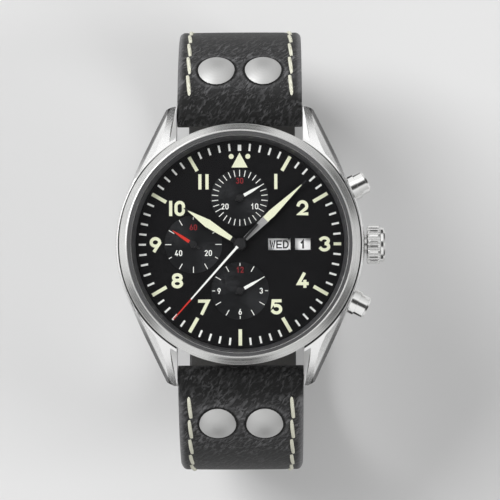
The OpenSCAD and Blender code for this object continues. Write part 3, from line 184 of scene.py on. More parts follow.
class Tree:
    """A node tree with one method that makes nodes."""

    def __init__(self, tree):
        self.tree = tree

    def add(self, kind, settings=None, sockets=None, out=0):
        node = self.tree.nodes.new(kind)
        for key, value in (settings or {}).items():
            setattr(node, key, value)
        for key, value in (sockets or {}).items():
            if isinstance(value, Out):
                self.tree.links.new(value.socket, node.inputs[key])
            else:
                node.inputs[key].default_value = value
        return Out(self, node.outputs[out]) if len(node.outputs) else node

    def mix(self, factor, a, b):
        """Colour a where the factor is 0, and b where it is 1."""
        a, b = [c if isinstance(c, Out) else (*c, 1) for c in (a, b)]
        return self.add("ShaderNodeMix", {"data_type": "RGBA"}, {0: factor, 6: a, 7: b}, 2)

    def step(self, value, low, high):
        """0 below low, 1 above high and a soft S between them."""
        return self.add("ShaderNodeMapRange", {"interpolation_type": "SMOOTHSTEP"},
                        {0: value, 1: low, 2: high, 3: 0.0, 4: 1.0})

    def noise(self, vector, scale, detail=3.0, roughness=0.5):
        return self.add("ShaderNodeTexNoise", {}, {
            "Vector": vector, "Scale": scale, "Detail": detail, "Roughness": roughness})

    def vector(self, x=0.0, y=0.0, z=0.0):
        return self.add("ShaderNodeCombineXYZ", {}, {0: x, 1: y, 2: z})

    def xyz(self, vector):
        return [self.add("ShaderNodeSeparateXYZ", {}, {0: vector}, i) for i in range(3)]

    def bump(self, height, depth, normal=None):
        """Height runs from 0 to 1 and stands for this depth in millimetres."""
        sockets = {"Height": height, "Distance": depth * MM, "Strength": 1.0}
        if normal:
            sockets["Normal"] = normal
        return self.add("ShaderNodeBump", {}, sockets)


class Finish(Tree):
    """A material with one Principled shader, and the places that its patterns read."""

    def __init__(self, name, colour, roughness=0.5, metallic=0.0, **constants):
        self.material = bpy.data.materials.new(name)
        self.material.use_nodes = True
        super().__init__(self.material.node_tree)
        self.shader = self.tree.nodes["Principled BSDF"]
        self.material.diffuse_color = (*colour, 1)
        self.set("Base Color", (*colour, 1))
        self.set("Roughness", roughness)
        self.set("Metallic", metallic)
        for key, value in constants.items():
            self.set(key.replace("_", " "), value)

    def set(self, key, value):
        if isinstance(value, Out):
            self.tree.links.new(value.socket, self.shader.inputs[key])
        else:
            self.shader.inputs[key].default_value = value

    def place(self, turn=0.0, stretch=(1, 1, 1), centre=(0, 0, 0)):
        """Object coordinates in millimetres about a centre, turned and stretched."""
        here = self.add("ShaderNodeTexCoord", out="Object")
        middle = self.add("ShaderNodeVectorMath", {"operation": "SUBTRACT"},
                          {0: here, 1: [c * MM for c in centre]})
        return self.add("ShaderNodeMapping", {"vector_type": "TEXTURE"}, {
            "Vector": middle, "Rotation": (0, 0, -turn), "Scale": [MM / s for s in stretch]})

    def around(self):
        """Radius, angle and height about the dial's axis, in millimetres and turns."""
        x, y, z = self.xyz(self.place())
        return (x * x + y * y) ** 0.5, x.math("ARCTAN2", y, x) / math.tau, z

    def soft_edges(self, width=0.06):
        """A normal that rounds the sharp CAD edges by this many millimetres."""
        return self.add("ShaderNodeBevel", {"samples": 4}, {"Radius": width * MM})


print("helpers ready")

# %% [markdown]
# ## Steel
# A watch case wears two finishes. Satin surfaces are drawn over an abrasive belt or turned on a
# lathe, which leaves fine parallel lines that spread a highlight across them. Polished surfaces
# are buffed until no line is left. The lines could be modelled or painted; here they are noise
# that is stretched a hundredfold along the direction of the tool, used very shallowly as bump
# and as a change of roughness. Turned parts take the noise in radius and height, so the lines
# run in rings.

# %% Steel finishes
STEEL = (0.70, 0.70, 0.69)
LUG_STEEL = (0.90, 0.90, 0.895)
RIVET_STEEL = (0.52, 0.52, 0.515)
POLISHED = (0.82, 0.82, 0.81)
LINES_PER_MM = 9.0
RINGS_PER_TURN = 6.0


def streaks(finish, vector):
    """Fine lines of mixed strength, from 0 to 1."""
    return finish.step(finish.noise(vector, 1.0, 4.0, 0.7), 0.35, 0.65)


def turned_steel(name, colour, rough, aniso, bump=0.004):
    """Steel with lines that run in rings about the dial's axis."""
    steel = Finish(name, colour, rough, 1.0, Anisotropic=aniso, Anisotropic_Rotation=0.25)
    radius, turn, height = steel.around()
    lines = streaks(steel, steel.vector(radius * LINES_PER_MM, height * LINES_PER_MM,
                                        turn * RINGS_PER_TURN))
    steel.set("Roughness", rough - 0.05 + lines * 0.1)
    steel.set("Normal", steel.bump(lines, bump, steel.soft_edges()))
    return steel.material


def drawn_steel(name, colour, rough, lines_per_mm, bump=0.004, metallic=1.0):
    """Steel with straight lines: few in a millimetre along the tool's way, many across it."""
    steel = Finish(name, colour, rough, metallic)
    lines = streaks(steel, steel.place(stretch=lines_per_mm))
    steel.set("Roughness", rough - 0.05 + lines * 0.1)
    steel.set("Normal", steel.bump(lines, bump, steel.soft_edges()))
    return steel.material


def polished_steel():
    """Buffed steel has no lines left, only a slight unevenness."""
    steel = Finish("polished_steel", POLISHED, 0.1, 1.0)
    cloud = steel.noise(steel.place(), 0.9, 3.0)
    steel.set("Roughness", 0.1 + cloud * 0.08)
    steel.set("Normal", steel.bump(cloud, 0.004, steel.soft_edges(0.09)))
    return steel.material


bezel_finish = turned_steel("bezel_satin", STEEL, 0.3, 0.7)
turned_finish = turned_steel("turned_steel", STEEL, 0.28, 0.4)
back_finish = turned_steel("back_satin", STEEL, 0.3, 0.5)
drawn_finish = drawn_steel("drawn_steel", STEEL, 0.28, (LINES_PER_MM, 0.15, LINES_PER_MM))
rivet_finish = drawn_steel("rivet_satin", RIVET_STEEL, 0.45, (0.15, LINES_PER_MM, LINES_PER_MM),
                           0.002, 0.6)
polish_finish = polished_steel()
print("steel finishes made")

# %% [markdown]
# ## The case middle
# One solid carries several finishes. Its wall is turned, its lugs are drawn lengthwise, and the
# hollow between two lugs is blasted grey. A dark line is painted where the bezel meets the case,
# a painted shadow of the bezel's overhang, and a darker band runs along each lug's outer
# shoulder, a painted dark reflection of its polished chamfer. They could be separate pieces, but
# the place of a point says what it is: each finish is a mask made from its distance to the dial's
# axis, its height and the way its face looks. The back of a lug is part of a cylinder, which the
# CAD export cuts into flat strips, so the shader works out the cylinder's own normal there and
# the reflection runs on smoothly.

# %% Case middle
BEZEL_R = span("bezel")[1].x
LUGS_FROM = (21.3, 21.7)
HOLLOW_X, HOLLOW_Y, HOLLOW_FALL = 12.22, 17.0, 0.153
JOINT_FADE, SEAM_FADE = (0.2, 0.36), (0.24, 0.42)
FLANK_TURN, FLANK_AT = math.radians(24.6), 21.53
BROW_FADE = (-0.75, -0.45)
BACK_Y, BACK_Z = 6.885, -13.662
SHADE_TONE, BROW_REFLECTION_TONE = (0.03, 0.03, 0.03), (0.2, 0.2, 0.2)


def case_steel():
    """Drawn lugs, turned wall, blasted hollows, painted joint shadow, painted shoulder reflection
    and evenly curved lug backs.
    """
    steel = Finish("case_steel", LUG_STEEL, 0.24, 1.0)
    radius, turn, height = steel.around()
    across, along, _ = steel.xyz(steel.place())
    x, y = abs(across), abs(along)
    facing = [abs(c) for c in steel.xyz(steel.add("ShaderNodeNewGeometry", out="True Normal"))]

    rings = streaks(steel, steel.vector(height * LINES_PER_MM, turn * RINGS_PER_TURN))
    drawn = streaks(steel, steel.place(stretch=(LINES_PER_MM, 0.12, LINES_PER_MM)))
    on_lug = steel.step(radius, *LUGS_FROM)
    lines = rings * (1 - on_lug) + drawn * on_lug

    hollow = (x < HOLLOW_X - (y - HOLLOW_Y) * HOLLOW_FALL) * (y > 13.0) * (facing[2] < 0.86)
    # Painted shadow: a dark line where the bezel overhangs the case, carried on over the lugs.
    joint = (1 - steel.step(radius - BEZEL_R, *JOINT_FADE)) * (height > 9.9)
    seam_shadow = (1 - steel.step(radius - BEZEL_R, *SEAM_FADE)) * (y > 10.5) * (height > 8.0)
    shade = joint.math("MAXIMUM", joint, seam_shadow) * (facing[2] > 0.3)
    reach = x * math.cos(FLANK_TURN) + y * math.sin(FLANK_TURN)
    # Painted dark reflection: a darker band along each lug's outer shoulder, standing in for its
    # polished chamfer mirroring the dark.
    brow_reflection = steel.step(reach - FLANK_AT, *BROW_FADE) * steel.step(y, 8.0, 17.0)

    tone = steel.mix(brow_reflection, LUG_STEEL, BROW_REFLECTION_TONE)
    steel.set("Base Color", steel.mix(shade, tone, SHADE_TONE))
    steel.set("Metallic", 1 - hollow * 0.85)
    steel.set("Roughness", 0.2 + lines * 0.08 + hollow * 0.25 + shade * 0.3)

    outward = steel.vector(0.0, (y - BACK_Y) * along.math("SIGN", along), height - BACK_Z)
    even = steel.add("ShaderNodeVectorMath", {"operation": "NORMALIZE"}, {0: outward})
    on_back = (facing[0] < 0.02) * (facing[2] > 0.3) * (y > 12.0) * (x > 11.0) * (height > 0.0)
    normal = steel.add("ShaderNodeMix", {"data_type": "VECTOR"},
                       {0: on_back, 4: steel.soft_edges(0.1), 5: even}, 1)
    steel.set("Normal", steel.bump(lines, 0.003, normal))
    return steel.material


case_finish = case_steel()
print("case middle: bezel joint at", round(BEZEL_R, 2), "mm, lugs from", LUGS_FROM[0], "mm")

# %% [markdown]
# ## Lacquer, print, paint and glass
# The dial is brass under matt black lacquer with a very fine grain. Its three sub-dials are
# cut a tenth of a millimetre deep with a pointed tool that leaves rings, and the rings make the
# fan of light that such a register shows. The luminous paint is thick, matt and a little uneven.
# Hands are lacquered in two or three colours, which are masks along their length.
#
# The crystal is coated sapphire. A glass shader would bend every ray twice and need many samples
# to come clean, so it is a clear mirror instead: nearly all of it is transparent from straight
# above, and its mirrored share grows with the fifth power of the slant, as on real glass. Layer
# Weight gives that slant on both sides of the glass, where Fresnel would turn the inside black.

# %% Dial finishes
SUB_R = 8.0
SUB_EDGE = 5.0
SUB_CENTRES = {"minutes": (0.0, SUB_R), "seconds": (-SUB_R, 0.0), "hours": (0.0, -SUB_R)}
CREAM = (0.72, 0.74, 0.55)
INK_WHITE = (0.80, 0.81, 0.78)
INK_RED = (0.52, 0.03, 0.02)
FIGURE_RED = (0.2, 0.012, 0.015)
INK_BLACK = (0.008, 0.008, 0.009)


def dial_lacquer():
    lacquer = Finish("dial_lacquer", (0.0045, 0.0045, 0.005), 0.5, Specular_IOR_Level=0.12)
    grain = lacquer.noise(lacquer.place(), 9.0, 2.0)
    lacquer.set("Roughness", 0.44 + grain * 0.16)
    lacquer.set("Normal", lacquer.bump(grain, 0.0012))
    return lacquer.material


def snailed_lacquer():
    """Rings cut by a pointed tool: they spread the light across themselves."""
    lacquer = Finish("snailed_lacquer", (0.034, 0.035, 0.037), 0.42, 1.0,
                     Anisotropic=0.8, Anisotropic_Rotation=0.25)
    radius = lacquer.add("ShaderNodeAttribute", {"attribute_name": "ring_radius"}, out="Fac")
    rings = (radius * (LINES_PER_MM * math.tau)).wave()
    lacquer.set("Roughness", 0.38 + rings * 0.08)
    lacquer.set("Normal", lacquer.bump(rings, 0.004))
    return lacquer.material


def paint(name, colour, rough, mottle=0.06, bump=0.01, scale=5.0):
    """Opaque paint with slight clouds in its tone."""
    coat = Finish(name, colour, rough)
    cloud = coat.noise(coat.place(), scale, 4.0)
    pale = [min(1.0, c * (1 + mottle)) for c in colour]
    deep = [c * (1 - mottle) for c in colour]
    coat.set("Base Color", coat.mix(cloud, deep, pale))
    coat.set("Roughness", rough - 0.05 + cloud * 0.1)
    coat.set("Normal", coat.bump(cloud, bump))
    return coat.material


def banded_lacquer(name, centre, clock_degrees, bands, rough=0.35, half=2.0):
    """Lacquer whose colour changes along the hand, within a strip of this half width."""
    coat = Finish(name, bands[0][1], rough)
    turned = coat.place(turn=-math.radians(90 - clock_degrees), centre=centre)
    along, beside, _ = coat.xyz(turned)
    strip = abs(beside) < half
    colour = bands[0][1]
    for start, tone in bands[1:]:
        reached = coat.step(along, start - 0.03, start + 0.03)
        colour = coat.mix(reached * strip, colour, tone)
        coat.set("Base Color", colour)
    grain = coat.noise(coat.place(), 16.0, 2.0)
    coat.set("Roughness", rough - 0.05 + grain * 0.1)
    coat.set("Normal", coat.bump(grain, 0.002))
    return coat.material


def sapphire():
    """Coated crystal: what it doesn't mirror passes straight through."""
    glass = Finish("sapphire", (1, 1, 1), 0.02, 1.0)
    smear = glass.noise(glass.place(), 0.25, 2.0)
    slant = glass.add("ShaderNodeLayerWeight", {}, {"Blend": 0.5}, "Facing")
    glass.set("Roughness", 0.01 + smear * 0.02)
    glass.set("Alpha", 0.012 + slant ** 5 * 0.4)
    return glass.material


dial_finish = dial_lacquer()
snail_finish = snailed_lacquer()
lume_finish = paint("lume", CREAM, 0.7, 0.07, 0.02, 3.0)
white_ink = paint("white_ink", INK_WHITE, 0.5)
red_ink = paint("red_ink", FIGURE_RED, 0.5)
black_ink = paint("black_ink", INK_BLACK, 0.5)
disc_white = paint("disc_white", (0.95, 0.95, 0.95), 0.45, 0.02)
flange_finish = paint("flange_grey", (0.06, 0.06, 0.063), 0.34, 0.1, 0.004)
glass_finish = sapphire()

HUB = (0.012, 0.012, 0.013)
GUNMETAL = (0.3, 0.3, 0.3)
HAND_AT = {"hour": 303.0, "minute": 46.4, "chronograph": 221.6,
           "seconds": 304.0, "minutes": 60.5, "hours": 60.5}
DIAL_CENTRE = (0, 0, 0)
hour_finish = banded_lacquer("hour_hand_lacquer", DIAL_CENTRE, HAND_AT["hour"], [(0, HUB)], 0.28)
minute_finish = banded_lacquer("minute_hand_lacquer", DIAL_CENTRE, HAND_AT["minute"],
                               [(0, HUB), (1.3, GUNMETAL), (6.4, HUB)], 0.28)
chrono_finish = banded_lacquer("chronograph_hand_lacquer", DIAL_CENTRE, HAND_AT["chronograph"],
                               [(0, HUB), (0.6, INK_WHITE), (12.65, INK_RED)], half=0.26)
sub_finish = {
    name: banded_lacquer(name + "_hand_lacquer", (*centre, 0), HAND_AT[name],
                         [(0, HUB), (0.85, tone)])
    for (name, centre), tone in zip(SUB_CENTRES.items(), (INK_WHITE, INK_RED, INK_WHITE))
}
print("dial finishes made")

# %% [markdown]
# ## Movement finishes
# Under the dial the plates are nickel plated and decorated, because a watchmaker cannot leave a
# bare surface: the bridges get broad parallel stripes, the mainplate a field of small overlapping
# circles. Wheels are gilt brass with a circular grain, levers are straight-grained steel and the
# hairspring is blue. None of it shows in the portrait, but all of it shows when the watch is
# opened, so each node gets its own finish from the same few formulas.

# %% Movement finishes
STRIPE_PITCH, STRIPE_TURN = 2.4, 0.5


def striped_nickel():
    nickel = Finish("striped_nickel", (0.74, 0.72, 0.66), 0.3, 1.0)
    x = nickel.xyz(nickel.place(turn=STRIPE_TURN))[0]
    stripes = (x * (math.tau / STRIPE_PITCH)).wave()
    lines = streaks(nickel, nickel.place(turn=STRIPE_TURN, stretch=(LINES_PER_MM, 0.2, 1.0)))
    nickel.set("Roughness", 0.2 + stripes * 0.15 + lines * 0.05)
    nickel.set("Normal", nickel.bump(stripes, 0.02, nickel.soft_edges()))
    return nickel.material


def pearled_nickel():
    nickel = Finish("pearled_nickel", (0.72, 0.70, 0.64), 0.3, 1.0)
    cells = nickel.add("ShaderNodeTexVoronoi", {"voronoi_dimensions": "2D"},
                       {"Vector": nickel.place(), "Scale": 0.9, "Randomness": 0.15})
    rings = (cells * 40.0).wave()
    nickel.set("Roughness", 0.22 + rings * 0.12)
    nickel.set("Normal", nickel.bump(cells, 0.02, nickel.soft_edges()))
    return nickel.material


brass_finish = turned_steel("gilt_brass", (0.78, 0.56, 0.24), 0.26, 0.0)
striped_finish = striped_nickel()
pearled_finish = pearled_nickel()
lever_finish = drawn_steel("lever_steel", (0.6, 0.6, 0.6), 0.25,
                           (LINES_PER_MM, 0.3, LINES_PER_MM))
rotor_finish = turned_steel("rotor_steel", (0.62, 0.60, 0.58), 0.3, 0.3)
blue_finish = paint("blued_spring", (0.02, 0.05, 0.22), 0.3)
nylon_finish = paint("grey_nylon", (0.07, 0.07, 0.072), 0.35, 0.06, 0.004)
rubber_finish = paint("nitrile_rubber", (0.012, 0.012, 0.012), 0.6, 0.1, 0.01, 8.0)
print("movement finishes made")

# %% [markdown]
# ## Dressing the CAD nodes
# Most solids already have their final shape and only change clothes. A node keeps its object and
# its mesh, and the new material goes into its slot. What is soft or too plain waits: the leather
# and the pusher springs get pieces of their own further down.

# %% Dress the nodes
FINISHES = [
    (case_finish, "mid_case"),
    (bezel_finish, "bezel"),
    (back_finish, "case_back"),
    (turned_finish, "crown_tube winding_stem cannon_pinion driving_pinion spring_bars buckle_bar"),
    (drawn_finish, "buckle_frame buckle_tongue"),
    (rivet_finish, "strap_rivets"),
    (polish_finish, "crown pusher_tubes start_pusher reset_pusher casing_clamps rotor_screw"),
    (glass_finish, "crystal"),
    (nylon_finish, "crystal_gasket"),
    (rubber_finish, "case_back_gasket crown_gasket"),
    (flange_finish, "dial_flange"),
    (dial_finish, "dial"),
    (disc_white, "date_ring day_disc"),
    (pearled_finish, "mainplate movement_ring"),
    (striped_finish, "train_bridge automatic_bridge balance_cock"),
    (brass_finish, "hour_wheel minute_wheel barrel second_wheel third_wheel fourth_wheel"),
    (brass_finish, "balance_wheel chronograph_runner minute_counter_wheel hour_counter_wheel"),
    (lever_finish, "escape_wheel pallet_fork setting_lever start_lever reset_lever"),
    (rotor_finish, "rotor"),
    (blue_finish, "hairspring"),
    (hour_finish, "hour_hand"),
    (minute_finish, "minute_hand"),
    (chrono_finish, "chronograph_hand"),
    (sub_finish["seconds"], "small_seconds_hand"),
    (sub_finish["minutes"], "minute_counter_hand"),
    (sub_finish["hours"], "hour_counter_hand"),
]


def dress(name, material):
    slots = nodes[name].material_slots
    if not slots:
        nodes[name].data.materials.append(material)
    for slot in slots:
        slot.material = material


dressed_nodes = set()
for material, names in FINISHES:
    for name in names.split():
        dress(name, material)
        dressed_nodes.add(name)
undressed = set(nodes) - dressed_nodes
print("nodes that wait for a piece of their own:", sorted(undressed))

# %% [markdown]
# ## Flat plates: how print and paint are built
# Pad printing leaves a film about a hundredth of a millimetre thick, luminous paint a tenth.
# Both are flat shapes with a wall, so one function makes them all. A shape is given as small
# convex pieces that may overlap, such as the two strokes of a 4. Overlapping faces would flicker,
# so a constrained triangulation first turns all the pieces into one sheet without overlaps, and
# the sheet's rim then gets its wall.

# %% Plate builder
def signed_area(points):
    return sum(a[0] * b[1] - b[0] * a[1] for a, b in zip(points, points[1:] + points[:1])) / 2


def put_mesh(name, mesh, materials, body="watch"):
    """Makes an object of a mesh that is already in metres, and lets it ride."""
    piece = bpy.data.objects.new(name, mesh)
    scene.collection.objects.link(piece)
    for material in materials:
        mesh.materials.append(material)
    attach(piece, body)
    return piece


def inside(point, shape):
    """True where a point lies in a convex counter-clockwise shape."""
    return all((b[0] - a[0]) * (point.y - a[1]) - (b[1] - a[1]) * (point.x - a[0]) > -1e-9
               for a, b in zip(shape, shape[1:] + shape[:1]))


def sheet_of(shapes):
    """Points, triangles and open rim of the sheet that convex shapes cover together."""
    shapes = [shape if signed_area(shape) > 0 else shape[::-1] for shape in shapes]
    points, faces = [], []
    for shape in shapes:
        faces.append(list(range(len(points), len(points) + len(shape))))
        points.extend(Vector(p) for p in shape)
    flat, _, found, *_ = delaunay_2d_cdt(points, [], faces, 1, 1e-5)
    triangles = []
    for tri in found:
        middle = sum((flat[i] for i in tri), Vector((0, 0))) / 3
        if any(inside(middle, shape) for shape in shapes):
            triangles.append(tri)
    rim = {}
    for tri in triangles:
        for edge in zip(tri, tri[1:] + tri[:1]):
            if rim.pop(edge[::-1], None) is None:
                rim[edge] = True
    return flat, triangles, rim


def plate(name, groups, z0, z1, material, body="watch"):
    """Closed plates in one mesh: each group is a list of convex shapes that may overlap."""
    verts, faces = [], []
    for shapes in groups:
        flat, triangles, rim = sheet_of(shapes)
        start, count = len(verts), len(flat)
        verts += [(p.x * MM, p.y * MM, z * MM) for z in (z1, z0) for p in flat]
        faces += [[start + v for v in tri] for tri in triangles]
        faces += [[start + count + v for v in reversed(tri)] for tri in triangles]
        faces += [[start + a, start + a + count, start + b + count, start + b] for a, b in rim]
    mesh = bpy.data.meshes.new(name)
    mesh.from_pydata(verts, [], faces)
    mesh.validate()
    return put_mesh(name, mesh, [material], body)


def place_shape(shape, at, turn=0.0):
    """Turns a flat shape by an angle and moves it."""
    c, s = math.cos(turn), math.sin(turn)
    return [(at[0] + c * x - s * y, at[1] + s * x + c * y) for x, y in shape]


def bar(r0, r1, width, clock_degrees, centre=(0.0, 0.0)):
    """A radial bar between two radii, at a clock angle from 12."""
    turn = math.radians(90 - clock_degrees)
    half = width / 2
    return place_shape([(r0, -half), (r1, -half), (r1, half), (r0, half)], centre, turn)


def disc(centre, radius, count=32):
    return [(centre[0] + radius * math.cos(math.tau * i / count),
             centre[1] + radius * math.sin(math.tau * i / count)) for i in range(count)]


def on_clock(radius, clock_degrees, centre=(0.0, 0.0)):
    a = math.radians(90 - clock_degrees)
    return centre[0] + radius * math.cos(a), centre[1] + radius * math.sin(a)


print("plate builder ready")

# %% [markdown]
# ## A drawing pen for figures
# The numerals of an instrument dial are drawn, not written: strokes of one width, straight
# lines and round bows, flat ends. A font file could give them, but a pen is just as short. Each
# figure is a list of centre lines in a cell of its own width and height, and the pen turns each
# line into a chain of quads with mitred corners.

# %% Pen and figures
def ribbon(line, width, closed=False):
    """A chain of quads along a centre line, with square ends."""
    line = [Vector(p) for p in line]
    line = [p for i, p in enumerate(line) if (p - line[i - 1]).length > 1e-4 or not (i or closed)]
    if not closed:
        line[0] += (line[0] - line[1]).normalized() * width / 2
        line[-1] += (line[-1] - line[-2]).normalized() * width / 2
    count = len(line)
    left, right = [], []
    for i, p in enumerate(line):
        before = line[i - 1] if (i or closed) else p
        after = line[(i + 1) % count] if (i < count - 1 or closed) else p
        d0 = (p - before).normalized() if before != p else (after - p).normalized()
        d1 = (after - p).normalized() if after != p else d0
        n0, n1 = Vector((-d0.y, d0.x)), Vector((-d1.y, d1.x))
        mitre = (n0 + n1).normalized()
        mitre *= width / 2 / max(0.45, mitre.dot(n0))
        left.append(p + mitre)
        right.append(p - mitre)
    last = count if closed else count - 1
    return [[tuple(q) for q in (right[i], right[(i + 1) % count], left[(i + 1) % count], left[i])]
            for i in range(last)]


def bow(cx, cy, rx, ry, start, end, steps=14):
    """Points of an elliptical bow, in degrees from 3 o'clock."""
    angles = [math.radians(start + (end - start) * i / steps) for i in range(steps + 1)]
    return [(cx + rx * math.cos(a), cy + ry * math.sin(a)) for a in angles]


def figure(sign, w, h):
    """Centre lines of one sign: a list of (points, closed)."""
    r = w / 2
    up, low = 0.235 * h, 0.265 * h
    lines = {
        "0": [(bow(r, h - r, r, r, 0, 180) + bow(r, r, r, r, 180, 360), True)],
        "|": [([(r, 0), (r, h)], False)],
        "1": [([(r * 0.35, h * 0.74), (r * 1.15, h), (r * 1.15, 0)], False)],
        "2": [(bow(r, h - r, r, r, 165, -38) + [(w * 0.12, 0), (w, 0)], False)],
        "3": [(bow(r, h - up, r * 0.92, up, 150, -90) + bow(r, low, r, low, 88, -150), False)],
        "4": [([(w * 0.62, h), (0, h * 0.22), (w, h * 0.22)], False),
              ([(w * 0.74, h * 0.4), (w * 0.74, 0)], False)],
        "5": [([(w * 0.92, h), (w * 0.12, h), (w * 0.05, h * 0.5)]
               + bow(r, h * 0.31, r, h * 0.31, 128, -148), False)],
        "6": [(bow(r, h * 0.31, r, h * 0.31, 0, 345), True),
              ([(0.02 * w, h * 0.38), (w * 0.58, h)], False)],
        "7": [([(0, h), (w, h), (w * 0.3, 0)], False)],
        "8": [(bow(r, h - up, r * 0.9, up, 0, 345), True), (bow(r, low, r, low, 0, 345), True)],
        "9": [(bow(r, h * 0.69, r, h * 0.31, 0, 345), True),
              ([(0.98 * w, h * 0.62), (w * 0.42, 0)], False)],
        "A": [([(0, 0), (r, h), (w, 0)], False),
              ([(w * 0.18, h * 0.3), (w * 0.82, h * 0.3)], False)],
        "D": [([(0, 0), (0, h), (w * 0.4, h)] + bow(w * 0.4, h / 2, w * 0.6, h / 2, 85, -85)
               + [(w * 0.4, 0), (0, 0)], False)],
        "E": [([(w, h), (0, h), (0, 0), (w, 0)], False), ([(0, h / 2), (w * 0.85, h / 2)], False)],
        "F": [([(w, h), (0, h), (0, 0)], False), ([(0, h / 2), (w * 0.85, h / 2)], False)],
        "H": [([(0, 0), (0, h)], False), ([(w, 0), (w, h)], False),
              ([(0, h / 2), (w, h / 2)], False)],
        "I": [([(r, 0), (r, h)], False)],
        "M": [([(0, 0), (0, h), (r, h * 0.35), (w, h), (w, 0)], False)],
        "N": [([(0, 0), (0, h), (w, 0), (w, h)], False)],
        "O": [(bow(r, h - r, r, r, 0, 180) + bow(r, r, r, r, 180, 360), True)],
        "R": [([(0, 0), (0, h), (w * 0.5, h)] + bow(w * 0.5, h * 0.76, w * 0.45, h * 0.24, 85, -85)
               + [(0, h * 0.52)], False), ([(w * 0.45, h * 0.52), (w, 0)], False)],
        "S": [(bow(r, h - up, r * 0.92, up, 30, 265) + bow(r, low, r, low, 85, -150), False)],
        "T": [([(0, h), (w, h)], False), ([(r, 0), (r, h)], False)],
        "U": [([(0, h), (0, r)] + bow(r, r, r, r, 195, 345) + [(w, r), (w, h)], False)],
        "W": [([(0, h), (w * 0.25, 0), (r, h * 0.8), (w * 0.75, 0), (w, h)], False)],
    }
    return lines[sign]


def lettering(text, at, height, width, stroke, gap, turn=0.0):
    """Groups of a word whose middle is at a point, one a sign; narrow signs take less room."""
    advance = [stroke if sign in "|I" else width for sign in text]
    total = sum(advance) + gap * (len(text) - 1)
    groups, x = [], -total / 2
    for sign, room in zip(text, advance):
        quads = []
        for line, closed in figure(sign, room - stroke, height - stroke):
            shifted = [(px + x + stroke / 2, py - height / 2 + stroke / 2) for px, py in line]
            quads += [place_shape(quad, at, turn) for quad in ribbon(shifted, stroke, closed)]
        groups.append(quads)
        x += room + gap
    return groups


print("the pen knows", len("0|123456789ADEFHIMNORSTUW"), "signs")

# %% [markdown]
# ## Luminous markers
# Eleven numerals, the bars at the hours and the triangle with two dots at 12 are thick luminous
# paint. On the real dial they stand on circles: numerals at one radius, apart from 3 and 9 which
# move out past the windows and the small seconds. 12 has the triangle, 6 is left to its
# sub-dial, and the ones are plain strokes. A printed picture of them would lie flat, so they are
# plates with a wall of a twentieth of a millimetre, which catches the light as the paint does.

# %% Luminous markers
NUMERAL_H = 2.62
NUMERAL_W = 2.0
PAIRED_W = 1.82
NUMERAL_STROKE = 0.54
NUMERAL_GAP = {"|0": 0.38, "||": 0.68}
NUMERAL_R = 12.45
SIDE_NUMERAL_R = 14.53
HOUR_BAR = (14.6, 17.4, 0.6)
THREE_BAR = (16.1, 17.4, 0.5)
TRIANGLE = [(-1.39, 13.23), (1.39, 13.23), (0.0, 15.79)]
DOTS_AT = (1.43, 15.14)
DOT_R = 0.43
LUME_H = 0.05

NUMERALS = {1: "|", 2: "2", 3: "3", 4: "4", 5: "5", 7: "7", 8: "8", 9: "9", 10: "|0", 11: "||"}
lume_shapes = [[TRIANGLE]]
lume_shapes += [[disc((side * DOTS_AT[0], DOTS_AT[1]), DOT_R)] for side in (-1, 1)]
for hour, signs in NUMERALS.items():
    reach = SIDE_NUMERAL_R if hour in (3, 9) else NUMERAL_R
    wide = NUMERAL_W if len(signs) == 1 else PAIRED_W
    lume_shapes += lettering(signs, on_clock(reach, hour * 30), NUMERAL_H, wide,
                             NUMERAL_STROKE, NUMERAL_GAP.get(signs, 0.0))
lume_shapes += [[bar(*HOUR_BAR, hour * 30)] for hour in (1, 2, 4, 5, 6, 7, 8, 10, 11)]
lume_shapes += [[bar(*THREE_BAR, 90)]]
markers = plate("lume_markers", lume_shapes, DIAL_TOP, DIAL_TOP + LUME_H, lume_finish)
print("lume plate with", len(markers.data.polygons), "faces")

# %% [markdown]
# ## Printed tracks
# The minute track, the scales of the sub-dials and their figures are pad printed in white, with
# the top figure of each sub-dial in red. The three registers are the running seconds in twenties,
# a thirty minute counter and a twelve hour counter, so each scale is a short rule: how many
# ticks, how long, and which of them give way to a figure.

# %% Printed tracks
INK_H = 0.012
MINUTE_TICK = (16.15, 17.4, 0.34)
TOP_TICK = (16.1, 17.15, 0.6)
TICK_W = 0.13
FIGURE_H = 1.0
FIGURE_W = 0.56
FIGURE_STROKE = 0.15
FIGURE_GAP = 0.14
SUB_DEPTH = 0.1
sub_floor = DIAL_TOP - SUB_DEPTH

white_shapes = [[bar(*MINUTE_TICK, 6 * i)] for i in range(60) if i % 5 or i == 45]
white_shapes.append([bar(*TOP_TICK, 0)])
plate("minute_track", white_shapes, DIAL_TOP, DIAL_TOP + INK_H, white_ink)

